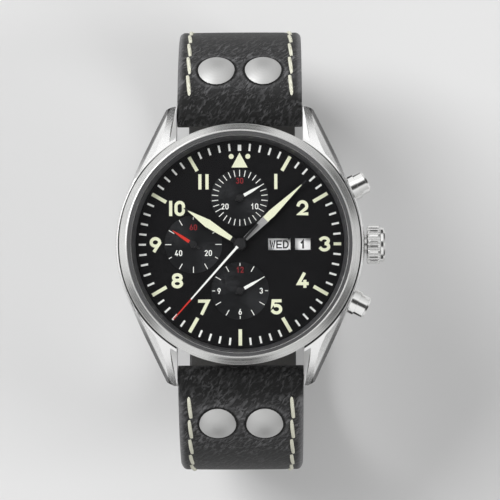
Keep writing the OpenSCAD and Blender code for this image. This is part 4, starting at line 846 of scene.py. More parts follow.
SCALES = {
    "minutes": {"ticks": 30, "long": (3.72, 4.82), "short": (3.72, 4.82), "short_at": (),
                "figure_r": 2.95, "figures": {0: "30", 120: "10", 240: "20"}},
    "seconds": {"ticks": 12, "long": (3.8, 4.85), "short": (4.3, 4.85),
                "short_at": (0, 120, 240), "figure_r": 2.95,
                "figures": {0: "60", 120: "20", 240: "40"}},
    "hours": {"ticks": 12, "long": (3.8, 4.85), "short": (4.3, 4.8),
              "short_at": (0, 90, 180, 270), "figure_r": 3.62,
              "figures": {0: "12", 90: "3", 180: "6", 270: "9"}},
}
for name, scale in SCALES.items():
    centre = SUB_CENTRES[name]
    shapes = []
    for i in range(scale["ticks"]):
        angle = 360 * i / scale["ticks"]
        reach = scale["short"] if angle in scale["short_at"] else scale["long"]
        shapes.append([bar(*reach, TICK_W, angle, centre)])
    red = []
    for angle, text in scale["figures"].items():
        words = lettering(text, on_clock(scale["figure_r"], angle, centre), FIGURE_H, FIGURE_W,
                          FIGURE_STROKE, FIGURE_GAP)
        if angle:
            shapes += words
        else:
            red += words
    plate(name + "_scale", shapes, sub_floor, sub_floor + 2 * INK_H, white_ink)
    plate(name + "_top_figure", red, sub_floor, sub_floor + 2 * INK_H, red_ink)
print("three scales printed")

# %% [markdown]
# ## Snailed registers
# The floor of each register catches the light like a record: a fan that opens from the centre.
# It is made as a thin ring of its own on the recessed floor, because the finish needs to know
# its own centre. The distance from that centre is stored on the points, and the rings in the
# shader follow it.

# %% Snailed registers
def register(name, centre, inner=0.45, outer=SUB_EDGE - 0.03, rings=12, parts=96):
    mesh = bpy.data.meshes.new(name)
    verts, radii, faces = [], [], []
    for i in range(rings + 1):
        r = inner + (outer - inner) * i / rings
        for j in range(parts):
            a = math.tau * j / parts
            verts.append(((centre[0] + r * math.cos(a)) * MM, (centre[1] + r * math.sin(a)) * MM,
                          (sub_floor + 0.004) * MM))
            radii.append(r)
    for i in range(rings):
        for j in range(parts):
            a, b = i * parts + j, i * parts + (j + 1) % parts
            faces.append((a, a + parts, b + parts, b))
    mesh.from_pydata(verts, [], faces)
    attribute = mesh.attributes.new("ring_radius", "FLOAT", "POINT")
    attribute.data.foreach_set("value", radii)
    bm = bmesh.new()
    bm.from_mesh(mesh)
    bmesh.ops.solidify(bm, geom=bm.faces[:], thickness=0.003 * MM)
    bmesh.ops.recalc_face_normals(bm, faces=bm.faces[:])
    bm.to_mesh(mesh)
    bm.free()
    return put_mesh(name, mesh, [snail_finish])


for name, centre in SUB_CENTRES.items():
    register(name + "_register", centre)
print("three registers")

# %% [markdown]
# ## Lume on the hands
# The hour and the minute hand are dark frames filled with luminous paint. The filling rides on
# the same body as its hand, so it turns with it. Its outline is the hand's own sword shape, set
# in by a tenth of a millimetre, and it starts further out on the minute hand, whose root is left
# as bare metal.

# %% Hand fillings
HOUR_LEN, MINUTE_LEN = 11.5, 15.8
FILL_INSET, FILL_TIP = 0.07, 0.06
FILL_SUNK, FILL_PROUD = 0.02, 0.035


def sword(root_at, root, widest_at, wide):
    """Half width of the blade from its root to its widest place."""
    return lambda x: root + (wide - root) * (x - root_at) / (widest_at - root_at)


def filling(name, start, widest, tip, half_width):
    hand = name + "_hand"
    blade = [(start, half_width(start)), (widest, half_width(widest)), (tip, FILL_TIP)]
    upper = [(x, max(0.05, w - FILL_INSET)) for x, w in blade]
    shape = upper + [(x, -w) for x, w in reversed(upper)]
    turned = place_shape(shape, (0, 0), math.radians(90 - HAND_AT[name]))
    top = span(hand)[1].z
    return plate(name + "_filling", [[turned]], top - FILL_SUNK, top + FILL_PROUD, lume_finish,
                 hand)


filling("hour", 1.75, 6.6, HOUR_LEN - 0.9, sword(0.93, 0.406, 6.6, 0.78))
filling("minute", 6.1, 7.6, MINUTE_LEN - 1.1, sword(0.69, 0.374, 7.6, 0.72))
print("hour and minute hand filled")

# %% [markdown]
# ## Date and weekday
# Behind the two windows turn a ring with the days of the month and a disc with the days of the
# week. Their print rides on them, so the next day comes up when they turn. On the ring each
# number reads outwards from the axis; on the disc, whose centre lies to the right of the
# window, each word reads inwards.

# %% Calendar print
DAY_CENTRE = (9.95, 0.0)
WEEK = ["WED", "THU", "FRI", "SAT", "SUN", "MON", "TUE"]
DATE_R = 10.82
DAY_R = 3.2
DATE_PEN = {"height": 1.5, "width": 0.92, "stroke": 0.34, "gap": 0.18}
DAY_PEN = {"height": 1.4, "width": 1.0, "stroke": 0.23, "gap": 0.15}

ring_top = span("date_ring")[1].z
disc_top = span("day_disc")[1].z
date_shapes = []
for day in range(31):
    turn = math.tau * day / 31
    at = (DATE_R * math.cos(turn), DATE_R * math.sin(turn))
    date_shapes += lettering(str(day + 1), at, turn=turn, **DATE_PEN)
plate("date_numbers", date_shapes, ring_top, ring_top + INK_H, black_ink, "date_ring")
day_shapes = []
for index, word in enumerate(WEEK):
    turn = math.tau * index / len(WEEK)
    at = (DAY_CENTRE[0] - DAY_R * math.cos(turn), DAY_CENTRE[1] - DAY_R * math.sin(turn))
    day_shapes += lettering(word, at, turn=turn, **DAY_PEN)
plate("weekday_names", day_shapes, disc_top, disc_top + INK_H, black_ink, "day_disc")
print("31 dates and 7 weekdays")

# %% [markdown]
# ## The strap's path
# The strap is buckled, so each half starts at its spring bar, bends down through two arcs and
# lies flat under the watch. The long half passes outside the buckle's bar and its tail follows
# the curve on the other side. A bent strap is easiest to describe as a straight one: everything
# on it gets a place along it and across it, and one function says where that place is in space.

# %% Strap path
BEND_1, R1 = (17.11, -17.59), 21.0
BEND_2, R2 = (18.11, -17.59), 20.0
SLOPE = math.radians(16)
LEN_1 = R1 * (math.pi / 2 - SLOPE)
LEN_2 = R2 * math.pi / 2
FLAT_Y, FLAT_Z = 18.11, -37.59
BUCKLE_Y = 1.0
SHORT_LEN = LEN_1 + LEN_2 + FLAT_Y - BUCKLE_Y
LONG_LEN = 120.0
TAIL_LIFT = 3.3
TAIL_FROM, TAIL_RAMP = 12.0, 12.5
HALF_T, END_T, FOLD_T = 1.5, 2.1, 1.7
TAPER_LEN, FOLD_LEN = 14.0, 2.5
HALF_WIDE, HALF_NARROW = 10.9, 10.0
TAPER_Z = (-12.0, -28.0)
EDGE_R = 0.75


def smooth(t):
    """A soft S from 0 to 1."""
    t = min(1.0, max(0.0, t))
    return t * t * (3 - 2 * t)


def tail_share(y):
    """How far the tail has been lifted over the buckle at this place."""
    return smooth((TAIL_FROM - y) / TAIL_RAMP)


def on_bend(centre, r, a):
    """Point and outward normal on an arc, at an angle from the top."""
    out = Vector((math.sin(a), math.cos(a)))
    return Vector(centre) + r * out, out


def path_at(s, lift):
    """Point and outward normal of the strap's middle line, in the Y-Z plane."""
    if s < 0:
        point, out = on_bend(BEND_1, R1, SLOPE)
        return point + s * Vector((out.y, -out.x)), out
    if s < LEN_1:
        return on_bend(BEND_1, R1, SLOPE + s / R1)
    if s < LEN_1 + LEN_2:
        return on_bend(BEND_2, R2, math.pi / 2 + (s - LEN_1) / R2)
    y = FLAT_Y - (s - LEN_1 - LEN_2)
    if y > -FLAT_Y:
        slope = lift * (tail_share(y - 0.1) - tail_share(y + 0.1)) / 0.2
        return Vector((y, FLAT_Z - lift * tail_share(y))), Vector((slope, -1)).normalized()
    return on_bend((-FLAT_Y, BEND_1[1]), R2 + lift, math.pi + (-FLAT_Y - y) / (R2 + lift))


TIP = [(0.05, 0.3), (0.3, 1.9), (0.7, 3.0), (1.6, 5.1), (3.0, 7.2), (4.6, 8.9), (6.5, 9.8),
       (8.2, 10.0)]


def table(points, x):
    """Linear interpolation in a list of (x, y)."""
    for (x0, y0), (x1, y1) in zip(points, points[1:]):
        if x <= x1:
            return y0 + (y1 - y0) * max(0.0, x - x0) / (x1 - x0)
    return points[-1][1]


def half_width(s, length, lift):
    """The strap narrows as it goes down, and the long half ends in a pointed tip."""
    z = path_at(s, lift)[0].y
    share = min(1.0, max(0.0, (TAPER_Z[0] - z) / (TAPER_Z[0] - TAPER_Z[1])))
    wide = HALF_WIDE - (HALF_WIDE - HALF_NARROW) * share
    return min(wide, table(TIP, length - s)) if lift and length - s < TIP[-1][0] else wide


def half_thick(s, length, lift):
    """The nose is round, and so is the fold in which the short half ends."""
    if s < 0:
        return math.sqrt(max(0.0, END_T ** 2 - s * s)) + 0.02
    if s > length and not lift:
        return math.sqrt(max(0.0, FOLD_T ** 2 - (s - length) ** 2)) + 0.02
    thick = HALF_T + (END_T - HALF_T) * (1 - smooth(s / TAPER_LEN))
    if not lift:
        thick += (FOLD_T - HALF_T) * smooth((s - length + FOLD_LEN) / FOLD_LEN)
    return thick


print("short half", round(SHORT_LEN, 2), "mm, long half", LONG_LEN, "mm")

# %% [markdown]
# ## Leather
# The strap is black calf leather, waxed on top. It is covered with fine pores, and where it
# bends round the case it creases: the creases run slantwise, and their ridges are painted pale in
# thin lines, a painted highlight on top of their bump. The cut edges are closed with a smooth
# paint, and the lining is a finer, duller leather. A scanned hide would bring the light along in
# which it was scanned, so the creases are noise, stretched along two slants, bent by a slower
# noise and cut at a threshold. Round each rivet the leather is pressed into a seat with a swell
# about it; a dark ring in the seat is a painted shadow and a paler ring on the swell a painted
# highlight. The outer edges get a painted highlight, and the nose is darkened by painted shade.
# All of it reads each point's place along and across the strap, so it follows the bend.

# %% Leather finishes
HIDE_DARK, HIDE_PALE = (0.002, 0.002, 0.002), (0.15, 0.15, 0.154)
LINING_DARK, LINING_PALE = (0.014, 0.0135, 0.013), (0.028, 0.027, 0.026)
CREASE_TURN = math.radians(-58)
CREASES = ((CREASE_TURN, 0.65, 1.9), (CREASE_TURN + 0.45, 0.9, 2.5))
CREASE_FADES = (11.0, 17.0)
CREASE_DEPTH, PORE_DEPTH = 0.3, 0.025
RIM_HIGHLIGHT = (9.7, 10.7)
NOSE_SHADE_FADES = (1.0, 5.5)
RIVET_X, RIVET_S, RIVET_R = 4.1, 7.87, 3.275
SEAT_SHADOW_R, SWELL_HIGHLIGHT_R = 3.35, 3.95
OUTER_STRETCH = (R1 + HALF_T) / R1


def strap_place(finish, along=1.0, across=1.0, turn=0.0):
    """Place on the unrolled strap, in millimetres: first turned, then stretched."""
    here = finish.add("ShaderNodeAttribute", {"attribute_name": "strap_place"}, out="Vector")
    return finish.add("ShaderNodeMapping", {"vector_type": "TEXTURE"}, {
        "Vector": here, "Rotation": (0, 0, -turn), "Scale": (1 / across, 1 / along, 1.0)})


def grained_leather():
    hide = Finish("grained_leather", (0.012, 0.012, 0.013), 0.5, Specular_IOR_Level=0.3)
    place = strap_place(hide)
    beside, distance = [abs(c) for c in hide.xyz(place)[:2]]
    bend = hide.add("ShaderNodeTexNoise", {}, {"Vector": place, "Scale": 0.5}, "Color")
    ridges = []
    for turn, lengthways, crossways in CREASES:
        lie = hide.add("ShaderNodeVectorMath", {"operation": "MULTIPLY_ADD"}, {
            0: bend, 1: (0.8, 0.8, 0.8), 2: strap_place(hide, crossways, lengthways, turn)})
        ridges.append(hide.step(hide.noise(lie, 1.0, 2.0, 0.6), 0.5, 0.63))
    creases = ridges[0].math("MAXIMUM", ridges[0], ridges[1] * 0.7)
    bent = 1 - hide.step(distance, *CREASE_FADES) * 0.75
    patches = hide.step(hide.noise(place, 0.45, 2.0), 0.35, 0.65)
    crease = creases * bent * (0.35 + patches * 0.65)
    pores = hide.noise(place, 7.0, 3.0)
    # Painted shade: the nose is darkened over its first few millimetres, where the case shades it.
    nose = hide.step(distance, *NOSE_SHADE_FADES)
    # Painted highlight: the outer edges are made paler in the base colour, and a little smoother.
    rim_highlight = hide.step(beside, *RIM_HIGHLIGHT)
    ring = ((beside - RIVET_X) ** 2 + ((distance - RIVET_S) * OUTER_STRETCH) ** 2) ** 0.5
    # Painted shadow: a dark ring where the rivet sits in the leather; painted highlight: a paler
    # ring on the swell round it.
    seat_shadow = 1 - hide.step(abs(ring - SEAT_SHADOW_R), 0.12, 0.4)
    swell_highlight = 1 - hide.step(abs(ring - SWELL_HIGHLIGHT_R), 0.0, 0.45)
    # Painted highlight: crease ridges are made paler in the base colour, on top of their real
    # bump.
    tone = ((0.13 + swell_highlight * 0.2) * nose + crease * (0.3 + nose * 0.4)) * (1 - seat_shadow)
    hide.set("Base Color", hide.mix(tone + rim_highlight * nose * 0.7, HIDE_DARK, HIDE_PALE))
    hide.set("Roughness", 0.56 - crease * 0.16 + pores * 0.06 - rim_highlight * 0.16)
    hide.set("Normal", hide.bump(crease, CREASE_DEPTH, hide.bump(pores, PORE_DEPTH)))
    return hide.material


def painted_edge():
    coat = Finish("painted_edge", (0.01, 0.01, 0.01), 0.35)
    layers = coat.noise(strap_place(coat, 0.4, 3.0), 2.0, 3.0)
    coat.set("Roughness", 0.3 + layers * 0.15)
    coat.set("Normal", coat.bump(layers, 0.05))
    return coat.material


def lining_leather():
    hide = Finish("lining_leather", (0.02, 0.019, 0.018), 0.7)
    place = strap_place(hide)
    pores = hide.add("ShaderNodeTexVoronoi", {}, {"Vector": place, "Scale": 2.6})
    nap = hide.noise(place, 4.0, 4.0)
    hide.set("Base Color", hide.mix(nap, LINING_DARK, LINING_PALE))
    hide.set("Roughness", 0.62 + nap * 0.15)
    hide.set("Normal", hide.bump(pores, 0.05))
    return hide.material


leather = grained_leather()
edge_paint = painted_edge()
lining = lining_leather()
print("leather finishes made")

# %% [markdown]
# ## The strap's skin
# A strap half is padded in the middle and thin at its edges, and every rivet and stitch leaves a
# mark in its face. It is built as a tube of cross-sections: a crowned outer face, rounded edges
# and a flat lining. The outer face dips where the thread is pulled down and swells a little
# round each rivet, as leather does when the rivet is set. The sections lie closer where the
# shape changes faster.

# %% Strap skin
ROW_IN = 1.95
STEP, RIVET_STEP, TIP_STEP = 0.8, 0.28, 0.35
RIVET_ZONE, TIP_ZONE = (4.0, 12.4), 8.5
OFFSETS = [0.0, 0.3, 0.7, 1.0, 1.2, 1.4, 1.65, 2.0, 2.4] + [2.4 + 0.42 * i for i in range(1, 18)]
MEAN_FACE = (HALF_WIDE + HALF_NARROW) / 2 - EDGE_R
CROWN_H, FURROW_H, SWELL_H, SEAT_H = 0.08, 0.16, 0.13, 0.2
FURROW_W, SWELL_W, SEAT_W = 0.42, 0.33, 0.5
FURROW_FROM = (2.0, 3.5)
FACE, EDGE, LINING = 0, 1, 2


def across():
    """Shares of the half width at which the outer face has a point, left to right."""
    right = sorted({round(max(0.0, 1 - o / MEAN_FACE), 5) for o in OFFSETS} | {0.0})
    return [-k for k in reversed(right) if k] + right


def face_height(x, s, w):
    """What the outer face adds to its plain height: crown, stitch furrow, rivet seats."""
    height = CROWN_H * (1 - (x / w) ** 2)
    stitched = smooth((s - FURROW_FROM[0]) / (FURROW_FROM[1] - FURROW_FROM[0]))
    height -= FURROW_H * math.exp(-((w - ROW_IN - abs(x)) / FURROW_W) ** 2) * stitched
    d = math.hypot(abs(x) - RIVET_X, (s - RIVET_S) * OUTER_STRETCH)
    height += SWELL_H * math.exp(-((d - RIVET_R - 0.45) / SWELL_W) ** 2)
    if d < RIVET_R:
        height -= SEAT_H * smooth((RIVET_R - d) / SEAT_W)
    return height


def cross_section(s, w, t):
    """Points (x, height) of one section, from left to right over the face and back below."""
    edge = min(EDGE_R, t, w)
    half = edge / 2
    top = [math.radians(a) for a in (15, 30, 45, 60, 75, 90)]
    low = (0.0, 0.5, 1.0, math.pi / 2)
    rim = []
    for share in across():
        x = share * (w - edge)
        rim.append((x, t + face_height(x, s, w) * min(1, t), FACE))
    rim += [(w - edge + edge * math.sin(a), t - edge + edge * math.cos(a), FACE) for a in top]
    rim += [(w - half + half * math.cos(a), -t + half - half * math.sin(a), EDGE) for a in low]
    rim += [(share * (w - half), -t, LINING) for share in (0.7, 0.4, 0.1, -0.1, -0.4, -0.7)]
    rim += [(-w + half - half * math.cos(a), -t + half - half * math.sin(a), EDGE)
            for a in reversed(low)]
    rim += [(-w + edge - edge * math.sin(a), t - edge + edge * math.cos(a), FACE)
            for a in reversed(top)]
    return rim


def stations(length, lift):
    """Places of the sections: close at the nose, the rivets, the tip and the fold."""
    nose = [-END_T * math.cos(math.radians(9 * i)) for i in range(10)]
    rivets = [RIVET_ZONE[0] + RIVET_STEP * i for i in range(31)]
    plain = [STEP * i for i in range(int(length / STEP) + 1)]
    plain = [s for s in plain if not RIVET_ZONE[0] < s < RIVET_ZONE[1]]
    if lift:
        plain = [s for s in plain if s <= length - TIP_ZONE]
        end = [length - TIP_ZONE + TIP_STEP * i for i in range(25)]
    else:
        end = [length + FOLD_T * math.sin(math.radians(10 * i)) for i in range(1, 10)]
    return sorted(set(nose + plain + rivets + end + [length - 0.05]))


def leather_mesh(name, verts, faces, kinds, places):
    """A closed mesh with a material for each face and a place on the hide for each point."""
    mesh = bpy.data.meshes.new(name)
    mesh.from_pydata(verts, [], faces)
    mesh.polygons.foreach_set("material_index", kinds)
    mesh.attributes.new("strap_place", "FLOAT_VECTOR", "POINT").data.foreach_set(
        "vector", [c for place in places for c in place])
    bm = bmesh.new()
    bm.from_mesh(mesh)
    bmesh.ops.remove_doubles(bm, verts=bm.verts[:], dist=1e-7)
    bmesh.ops.recalc_face_normals(bm, faces=bm.faces[:])
    bm.to_mesh(mesh)
    bm.free()
    return mesh


def strap_mesh(name, length, lift):
    verts, faces, kinds, places = [], [], [], []
    rows = stations(length, lift)
    side = -1 if lift else 1
    for s in rows:
        w, t = half_width(s, length, lift), half_thick(s, length, lift)
        point, out = path_at(s, lift)
        rim = cross_section(s, w, t)
        for x, height, _ in rim:
            y, z = point + out * height
            verts.append((x * MM, side * y * MM, z * MM))
            places.append((x, side * s, height))
    n = len(rim)
    for i in range(len(rows) - 1):
        for j in range(n):
            k = (j + 1) % n
            quad = (i * n + j, (i + 1) * n + j, (i + 1) * n + k, i * n + k)
            faces.append(quad if side > 0 else quad[::-1])
            here, there = rim[j][2], rim[k][2]
            kinds.append(max(here, there) if here and there else FACE)
    nose_cap, end_cap = tuple(range(n)), tuple(range((len(rows) - 1) * n, len(rows) * n))
    faces += [nose_cap, end_cap[::-1]] if side > 0 else [nose_cap[::-1], end_cap]
    kinds += [FACE, FACE]
    return leather_mesh(name, verts, faces, kinds, places)


print(len(stations(SHORT_LEN, 0)), "and", len(stations(LONG_LEN, TAIL_LIFT)), "sections")

# %% [markdown]
# ## Two punched strap halves
# Leather is punched after it is sewn: a round hole across each half for its spring bar, a hole
# and a slot in the fold for the buckle's bar and tongue, and round holes along the tail. To
# punch is to subtract, so a Boolean modifier takes plain cutters out of each half. It is applied
# at once, and what is handed over is a plain mesh.

# %% Strap halves
def cutter(kind, size, matrix):
    """A box, or a cylinder of the given radius and height, in millimetres."""
    bm = bmesh.new()
    if kind == "box":
        bmesh.ops.create_cube(bm, size=1, matrix=matrix @ Matrix.Diagonal((*size, 1)))
    else:
        bmesh.ops.create_cone(bm, cap_ends=True, segments=32, radius1=size[0], radius2=size[0],
                              depth=size[1], matrix=matrix)
    bmesh.ops.scale(bm, vec=(MM, MM, MM), verts=bm.verts[:])
    mesh = bpy.data.meshes.new("cutter")
    bm.to_mesh(mesh)
    bm.free()
    return mesh


def cut(piece, meshes):
    """Cuts meshes out of a piece and leaves no modifier behind."""
    for mesh in meshes:
        tool = bpy.data.objects.new("cutter", mesh)
        scene.collection.objects.link(tool)
        modifier = piece.modifiers.new("cut", "BOOLEAN")
        modifier.object = tool
        modifier.solver = "EXACT"
        depsgraph = bpy.context.evaluated_depsgraph_get()
        result = bpy.data.meshes.new_from_object(piece.evaluated_get(depsgraph))
        piece.modifiers.remove(modifier)
        piece.data = result
        bpy.data.objects.remove(tool)


def strap_half(name, length, lift, cutters):
    mesh = strap_mesh(name, length, lift)
    piece = bpy.data.objects.new(name, mesh)
    scene.collection.objects.link(piece)
    for material in (leather, edge_paint, lining):
        mesh.materials.append(material)
    cut(piece, cutters)
    piece.data.shade_smooth()
    piece.data.set_sharp_from_angle(angle=math.radians(50))
    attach(piece, "watch")
    print(name, len(piece.data.polygons), "faces")
    return piece


def lying_x(y, z):
    """A frame whose third axis runs along X."""
    return Matrix.Translation((0, y, z)) @ Matrix.Rotation(math.pi / 2, 4, "Y")


TONGUE_TIP = Vector((-10.4, -42.6))
BAR_Y, BAR_Z = 22.9, 2.6
BAR_HOLE, BUCKLE_HOLE, TAIL_HOLE = (0.95, 60), (0.85, 60), (1.1, 12)
HOLE_FROM, HOLE_PITCH = 4.0, 6.5

slope = math.atan2(FLAT_Z - TONGUE_TIP.y, BUCKLE_Y - TONGUE_TIP.x)
slot_frame = Matrix.Translation((0, BUCKLE_Y, FLAT_Z)) @ Matrix.Rotation(slope, 4, "X")
fold_slot = cutter("box", (2.3, 6.2, 10), Matrix.Translation((0, BUCKLE_Y - 0.9, FLAT_Z)))
bar_hole = cutter("rod", BAR_HOLE, lying_x(BAR_Y, BAR_Z))
low_bar_hole = cutter("rod", BAR_HOLE, lying_x(-BAR_Y, BAR_Z))
buckle_hole = cutter("rod", BUCKLE_HOLE, lying_x(BUCKLE_Y, FLAT_Z))
tongue_hole = cutter("box", (2.4, 9.5, 3.4), slot_frame @ Matrix.Translation((0, -4.75, -0.7)))
tail_holes = []
for i in range(1, 5):
    point, out = path_at(LEN_1 + LEN_2 + FLAT_Y + HOLE_PITCH * i + HOLE_FROM, TAIL_LIFT)
    through = Matrix.Rotation(math.atan2(out.x, out.y), 4, "X")
    tail_holes.append(cutter("rod", TAIL_HOLE,
                             Matrix.Translation((0, -point.x, point.y)) @ through))

upper = strap_half("upper_strap_leather", SHORT_LEN, 0, [bar_hole, fold_slot, buckle_hole])
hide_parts("upper_strap")
lower = strap_half("lower_strap_leather", LONG_LEN, TAIL_LIFT,
                   [low_bar_hole, tongue_hole] + tail_holes)
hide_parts("lower_strap")

# %% [markdown]
# ## Growing thread and wire
# Stitches and springs are both round sweeps, and both are repeated by rule, so Geometry Nodes
# grow them. Every such tree needs the same things: sizes with names, an end that turns copies
# into real faces and dresses them, and a run that leaves a plain mesh without its modifier.

# %% Growth trees
class Growth(Tree):
    """A Geometry Nodes tree that grows a shape on a host mesh, with named sizes as inputs."""

    def __init__(self, name, sizes):
        super().__init__(bpy.data.node_groups.new(name, "GeometryNodeTree"))
        self.sizes = sizes
        self.keys = {}
        face = self.tree.interface
        face.new_socket("Host", in_out="INPUT", socket_type="NodeSocketGeometry")
        for size, value in sizes.items():
            socket = face.new_socket(size, in_out="INPUT", socket_type="NodeSocketFloat")
            socket.default_value = value
            self.keys[size] = socket.identifier
        face.new_socket("Grown", in_out="OUTPUT", socket_type="NodeSocketGeometry")
        entry = self.add("NodeGroupInput").socket.node
        self.host, *self.inputs = [Out(self, entry.outputs[i]) for i in range(len(sizes) + 1)]

    def sweep(self, curve, radius):
        """A round thread along a curve, with eight sides and closed ends."""
        ring = self.add("GeometryNodeCurvePrimitiveCircle", {"mode": "RADIUS"},
                        {"Resolution": 8, "Radius": radius})
        swept = self.add("GeometryNodeCurveToMesh", {},
                         {"Curve": curve, "Profile Curve": ring, "Fill Caps": True})
        return self.add("GeometryNodeSetShadeSmooth", {}, {"Geometry": swept})

    def end(self, shape, material):
        """Closes the tree: copies become real faces and get their material."""
        solid = self.add("GeometryNodeRealizeInstances", {}, {"Geometry": shape})
        dressed = self.add("GeometryNodeSetMaterial", {},
                           {"Geometry": solid, "Material": material})
        self.add("NodeGroupOutput", {}, {0: dressed})

    def grow(self, name, host_mesh):
        """Runs the tree once and returns a plain mesh; host and modifier are gone after it."""
        host = bpy.data.objects.new(name + "_host", host_mesh)
        scene.collection.objects.link(host)
        modifier = host.modifiers.new("growth", "NODES")
        modifier.node_group = self.tree
        for size, value in self.sizes.items():
            modifier[self.keys[size]] = value
        depsgraph = bpy.context.evaluated_depsgraph_get()
        grown = bpy.data.meshes.new_from_object(host.evaluated_get(depsgraph))
        grown.name = name
        host.modifiers.remove(modifier)
        bpy.data.objects.remove(host)
        return grown


print("growth trees ready")

# %% [markdown]
# ## Stitching
# Two rows of thick cream thread run along each half, close to the edges. On a real strap every
# stitch leans slightly, because the awl is held at an angle, and both its ends dive into the
# leather. That is a task for Geometry Nodes: a line along the strap is divided at the pitch of
# the stitches, a short bent thread is swept once, and a copy of it goes to each point, turned to
# the line and to the leather's outward direction.

# %% Stitching
STITCH = {"Pitch": 4.8, "Length": 4.2, "Thread": 0.33, "Rise": 0.16, "Slant": 5.0}
STITCH_SUNK = 0.25
STITCH_FROM = 4.7
THREAD_DARK, THREAD_PALE = (0.60, 0.59, 0.47), (0.86, 0.86, 0.74)
TIP_ROW = 5.4


def thread_finish():
    thread = Finish("cream_thread", (0.62, 0.60, 0.46), 0.75)
    twist = thread.add("ShaderNodeTexWave", {"bands_direction": "DIAGONAL"},
                       {"Vector": thread.place(), "Scale": 1.6, "Distortion": 1.0})
    thread.set("Base Color", thread.mix(twist, THREAD_DARK, THREAD_PALE))
    thread.set("Roughness", 0.7 + twist * 0.15)
    thread.set("Normal", thread.bump(twist, 0.06))
    return thread.material


def stitch_tree(material):
    tree = Growth("stitch_row", STITCH)
    pitch, length, thick, rise, slant = tree.inputs
    half = length * (MM / 2)
    curve = tree.add("GeometryNodeMeshToCurve", {}, {"Mesh": tree.host})
    points = tree.add("GeometryNodeResampleCurve", {"mode": "LENGTH"},
                      {"Curve": curve, "Length": pitch * MM})
    bow_line = tree.add("GeometryNodeCurveQuadraticBezier", {}, {
        "Resolution": 8, "Start": tree.vector(0 - half, 0.0, -STITCH_SUNK * MM),
        "Middle": tree.vector(z=rise * (3 * MM)),
        "End": tree.vector(half, 0.0, -STITCH_SUNK * MM)})
    stitch = tree.sweep(bow_line, thick * MM)
    outward = tree.add("GeometryNodeInputNamedAttribute", {"data_type": "FLOAT_VECTOR"},
                       {"Name": "outward"})
    tangent = tree.add("GeometryNodeInputTangent")
    up = tree.add("FunctionNodeAlignRotationToVector", {"axis": "Z"}, {"Vector": outward})
    ahead = tree.add("FunctionNodeAlignRotationToVector", {"axis": "X", "pivot_axis": "Z"},
                     {"Rotation": up, "Vector": tangent})
    tilt = tree.add("FunctionNodeAxisAngleToRotation", {},
                    {"Axis": (0, 0, 1), "Angle": slant * (math.pi / 180)})
    turned = tree.add("FunctionNodeRotateRotation", {"rotation_space": "LOCAL"},
                      {"Rotation": ahead, "Rotate By": tilt})
    copies = tree.add("GeometryNodeInstanceOnPoints", {},
                      {"Points": points, "Instance": stitch, "Rotation": turned})
    tree.end(copies, material)
    return tree


def line_mesh(name, lines):
    """One mesh of open lines, each a list of (point in millimetres, outward direction)."""
    verts, edges, outward = [], [], []
    for line in lines:
        start = len(verts)
        for point, out in line:
            verts.append([c * MM for c in point])
            outward += list(out)
        edges += [(i, i + 1) for i in range(start, len(verts) - 1)]
    mesh = bpy.data.meshes.new(name)
    mesh.from_pydata(verts, edges, [])
    mesh.attributes.new("outward", "FLOAT_VECTOR", "POINT").data.foreach_set("vector", outward)
    return mesh


def row_line(x_of, s0, s1, length, lift, step=0.5):
    """A line just above the outer face, from one place along the strap to another."""
    side = -1 if lift else 1
    line = []
    count = max(2, int(abs(s1 - s0) / step))
    for i in range(count + 1):
        s = s0 + (s1 - s0) * i / count
        point, out = path_at(s, lift)
        x = x_of(s)
        w, t = half_width(s, length, lift), half_thick(s, length, lift)
        at = point + out * (t + face_height(x, s, w) + 0.03)
        line.append(((x, side * at.x, at.y), (0, side * out.x, out.y)))
    return line


def tip_line(end):
    """The row that joins both side rows along the curve of the tip."""
    reach = HALF_NARROW - ROW_IN
    line = []
    for a in [math.radians(-84 + 4 * i) for i in range(43)]:
        s = end + TIP_ROW * math.cos(a)
        line.append(row_line(lambda _: reach * math.sin(a), s, s, LONG_LEN, TAIL_LIFT)[0])
    return line


stitches = stitch_tree(thread_finish())
for name, length, lift, end in (("upper_strap_thread", SHORT_LEN, 0, SHORT_LEN - 6),
                                ("lower_strap_thread", LONG_LEN, TAIL_LIFT, LONG_LEN - 8)):
    lines = [row_line(lambda s: edge * (half_width(s, length, lift) - ROW_IN),
                      STITCH_FROM, end, length, lift) for edge in (-1, 1)]
    if lift:
        lines.append(tip_line(end))
    mesh = stitches.grow(name, line_mesh(name + "_line", lines))
    thread = put_mesh(name, mesh, [])
    print(name, len(mesh.polygons), "faces")

# %% [markdown]
# ## Keepers
# Two loops of leather hold the tail. A keeper is a narrow strip, folded round and glued, so its
# edges are painted like the strap's. Each is a closed band: a small rounded section swept once
# round a rounded rectangle. The strip is cut from the plain middle of the hide, so its grain is
# read there, away from the creases and the rivets. The free keeper rides on its own body,
# because it slides.

# %% Keepers
KEEPER_HALF_W, KEEPER_HALF_T, KEEPER_BEND = 2.3, 0.45, 1.5
KEEPER_CUT_AT = 40.0
KEEPER_SECTION = [(-1, 0.2), (-0.97, 0.75), (-0.9, 1), (-0.5, 1.06), (0, 1.08), (0.5, 1.06),
                  (0.9, 1), (0.97, 0.75), (1, 0.2), (1, -0.5), (0.95, -1), (0, -1),
                  (-0.95, -1), (-1, -0.5)]
KEEPER_KINDS = [FACE] * 8 + [EDGE] * 2 + [LINING] * 2 + [EDGE] * 2


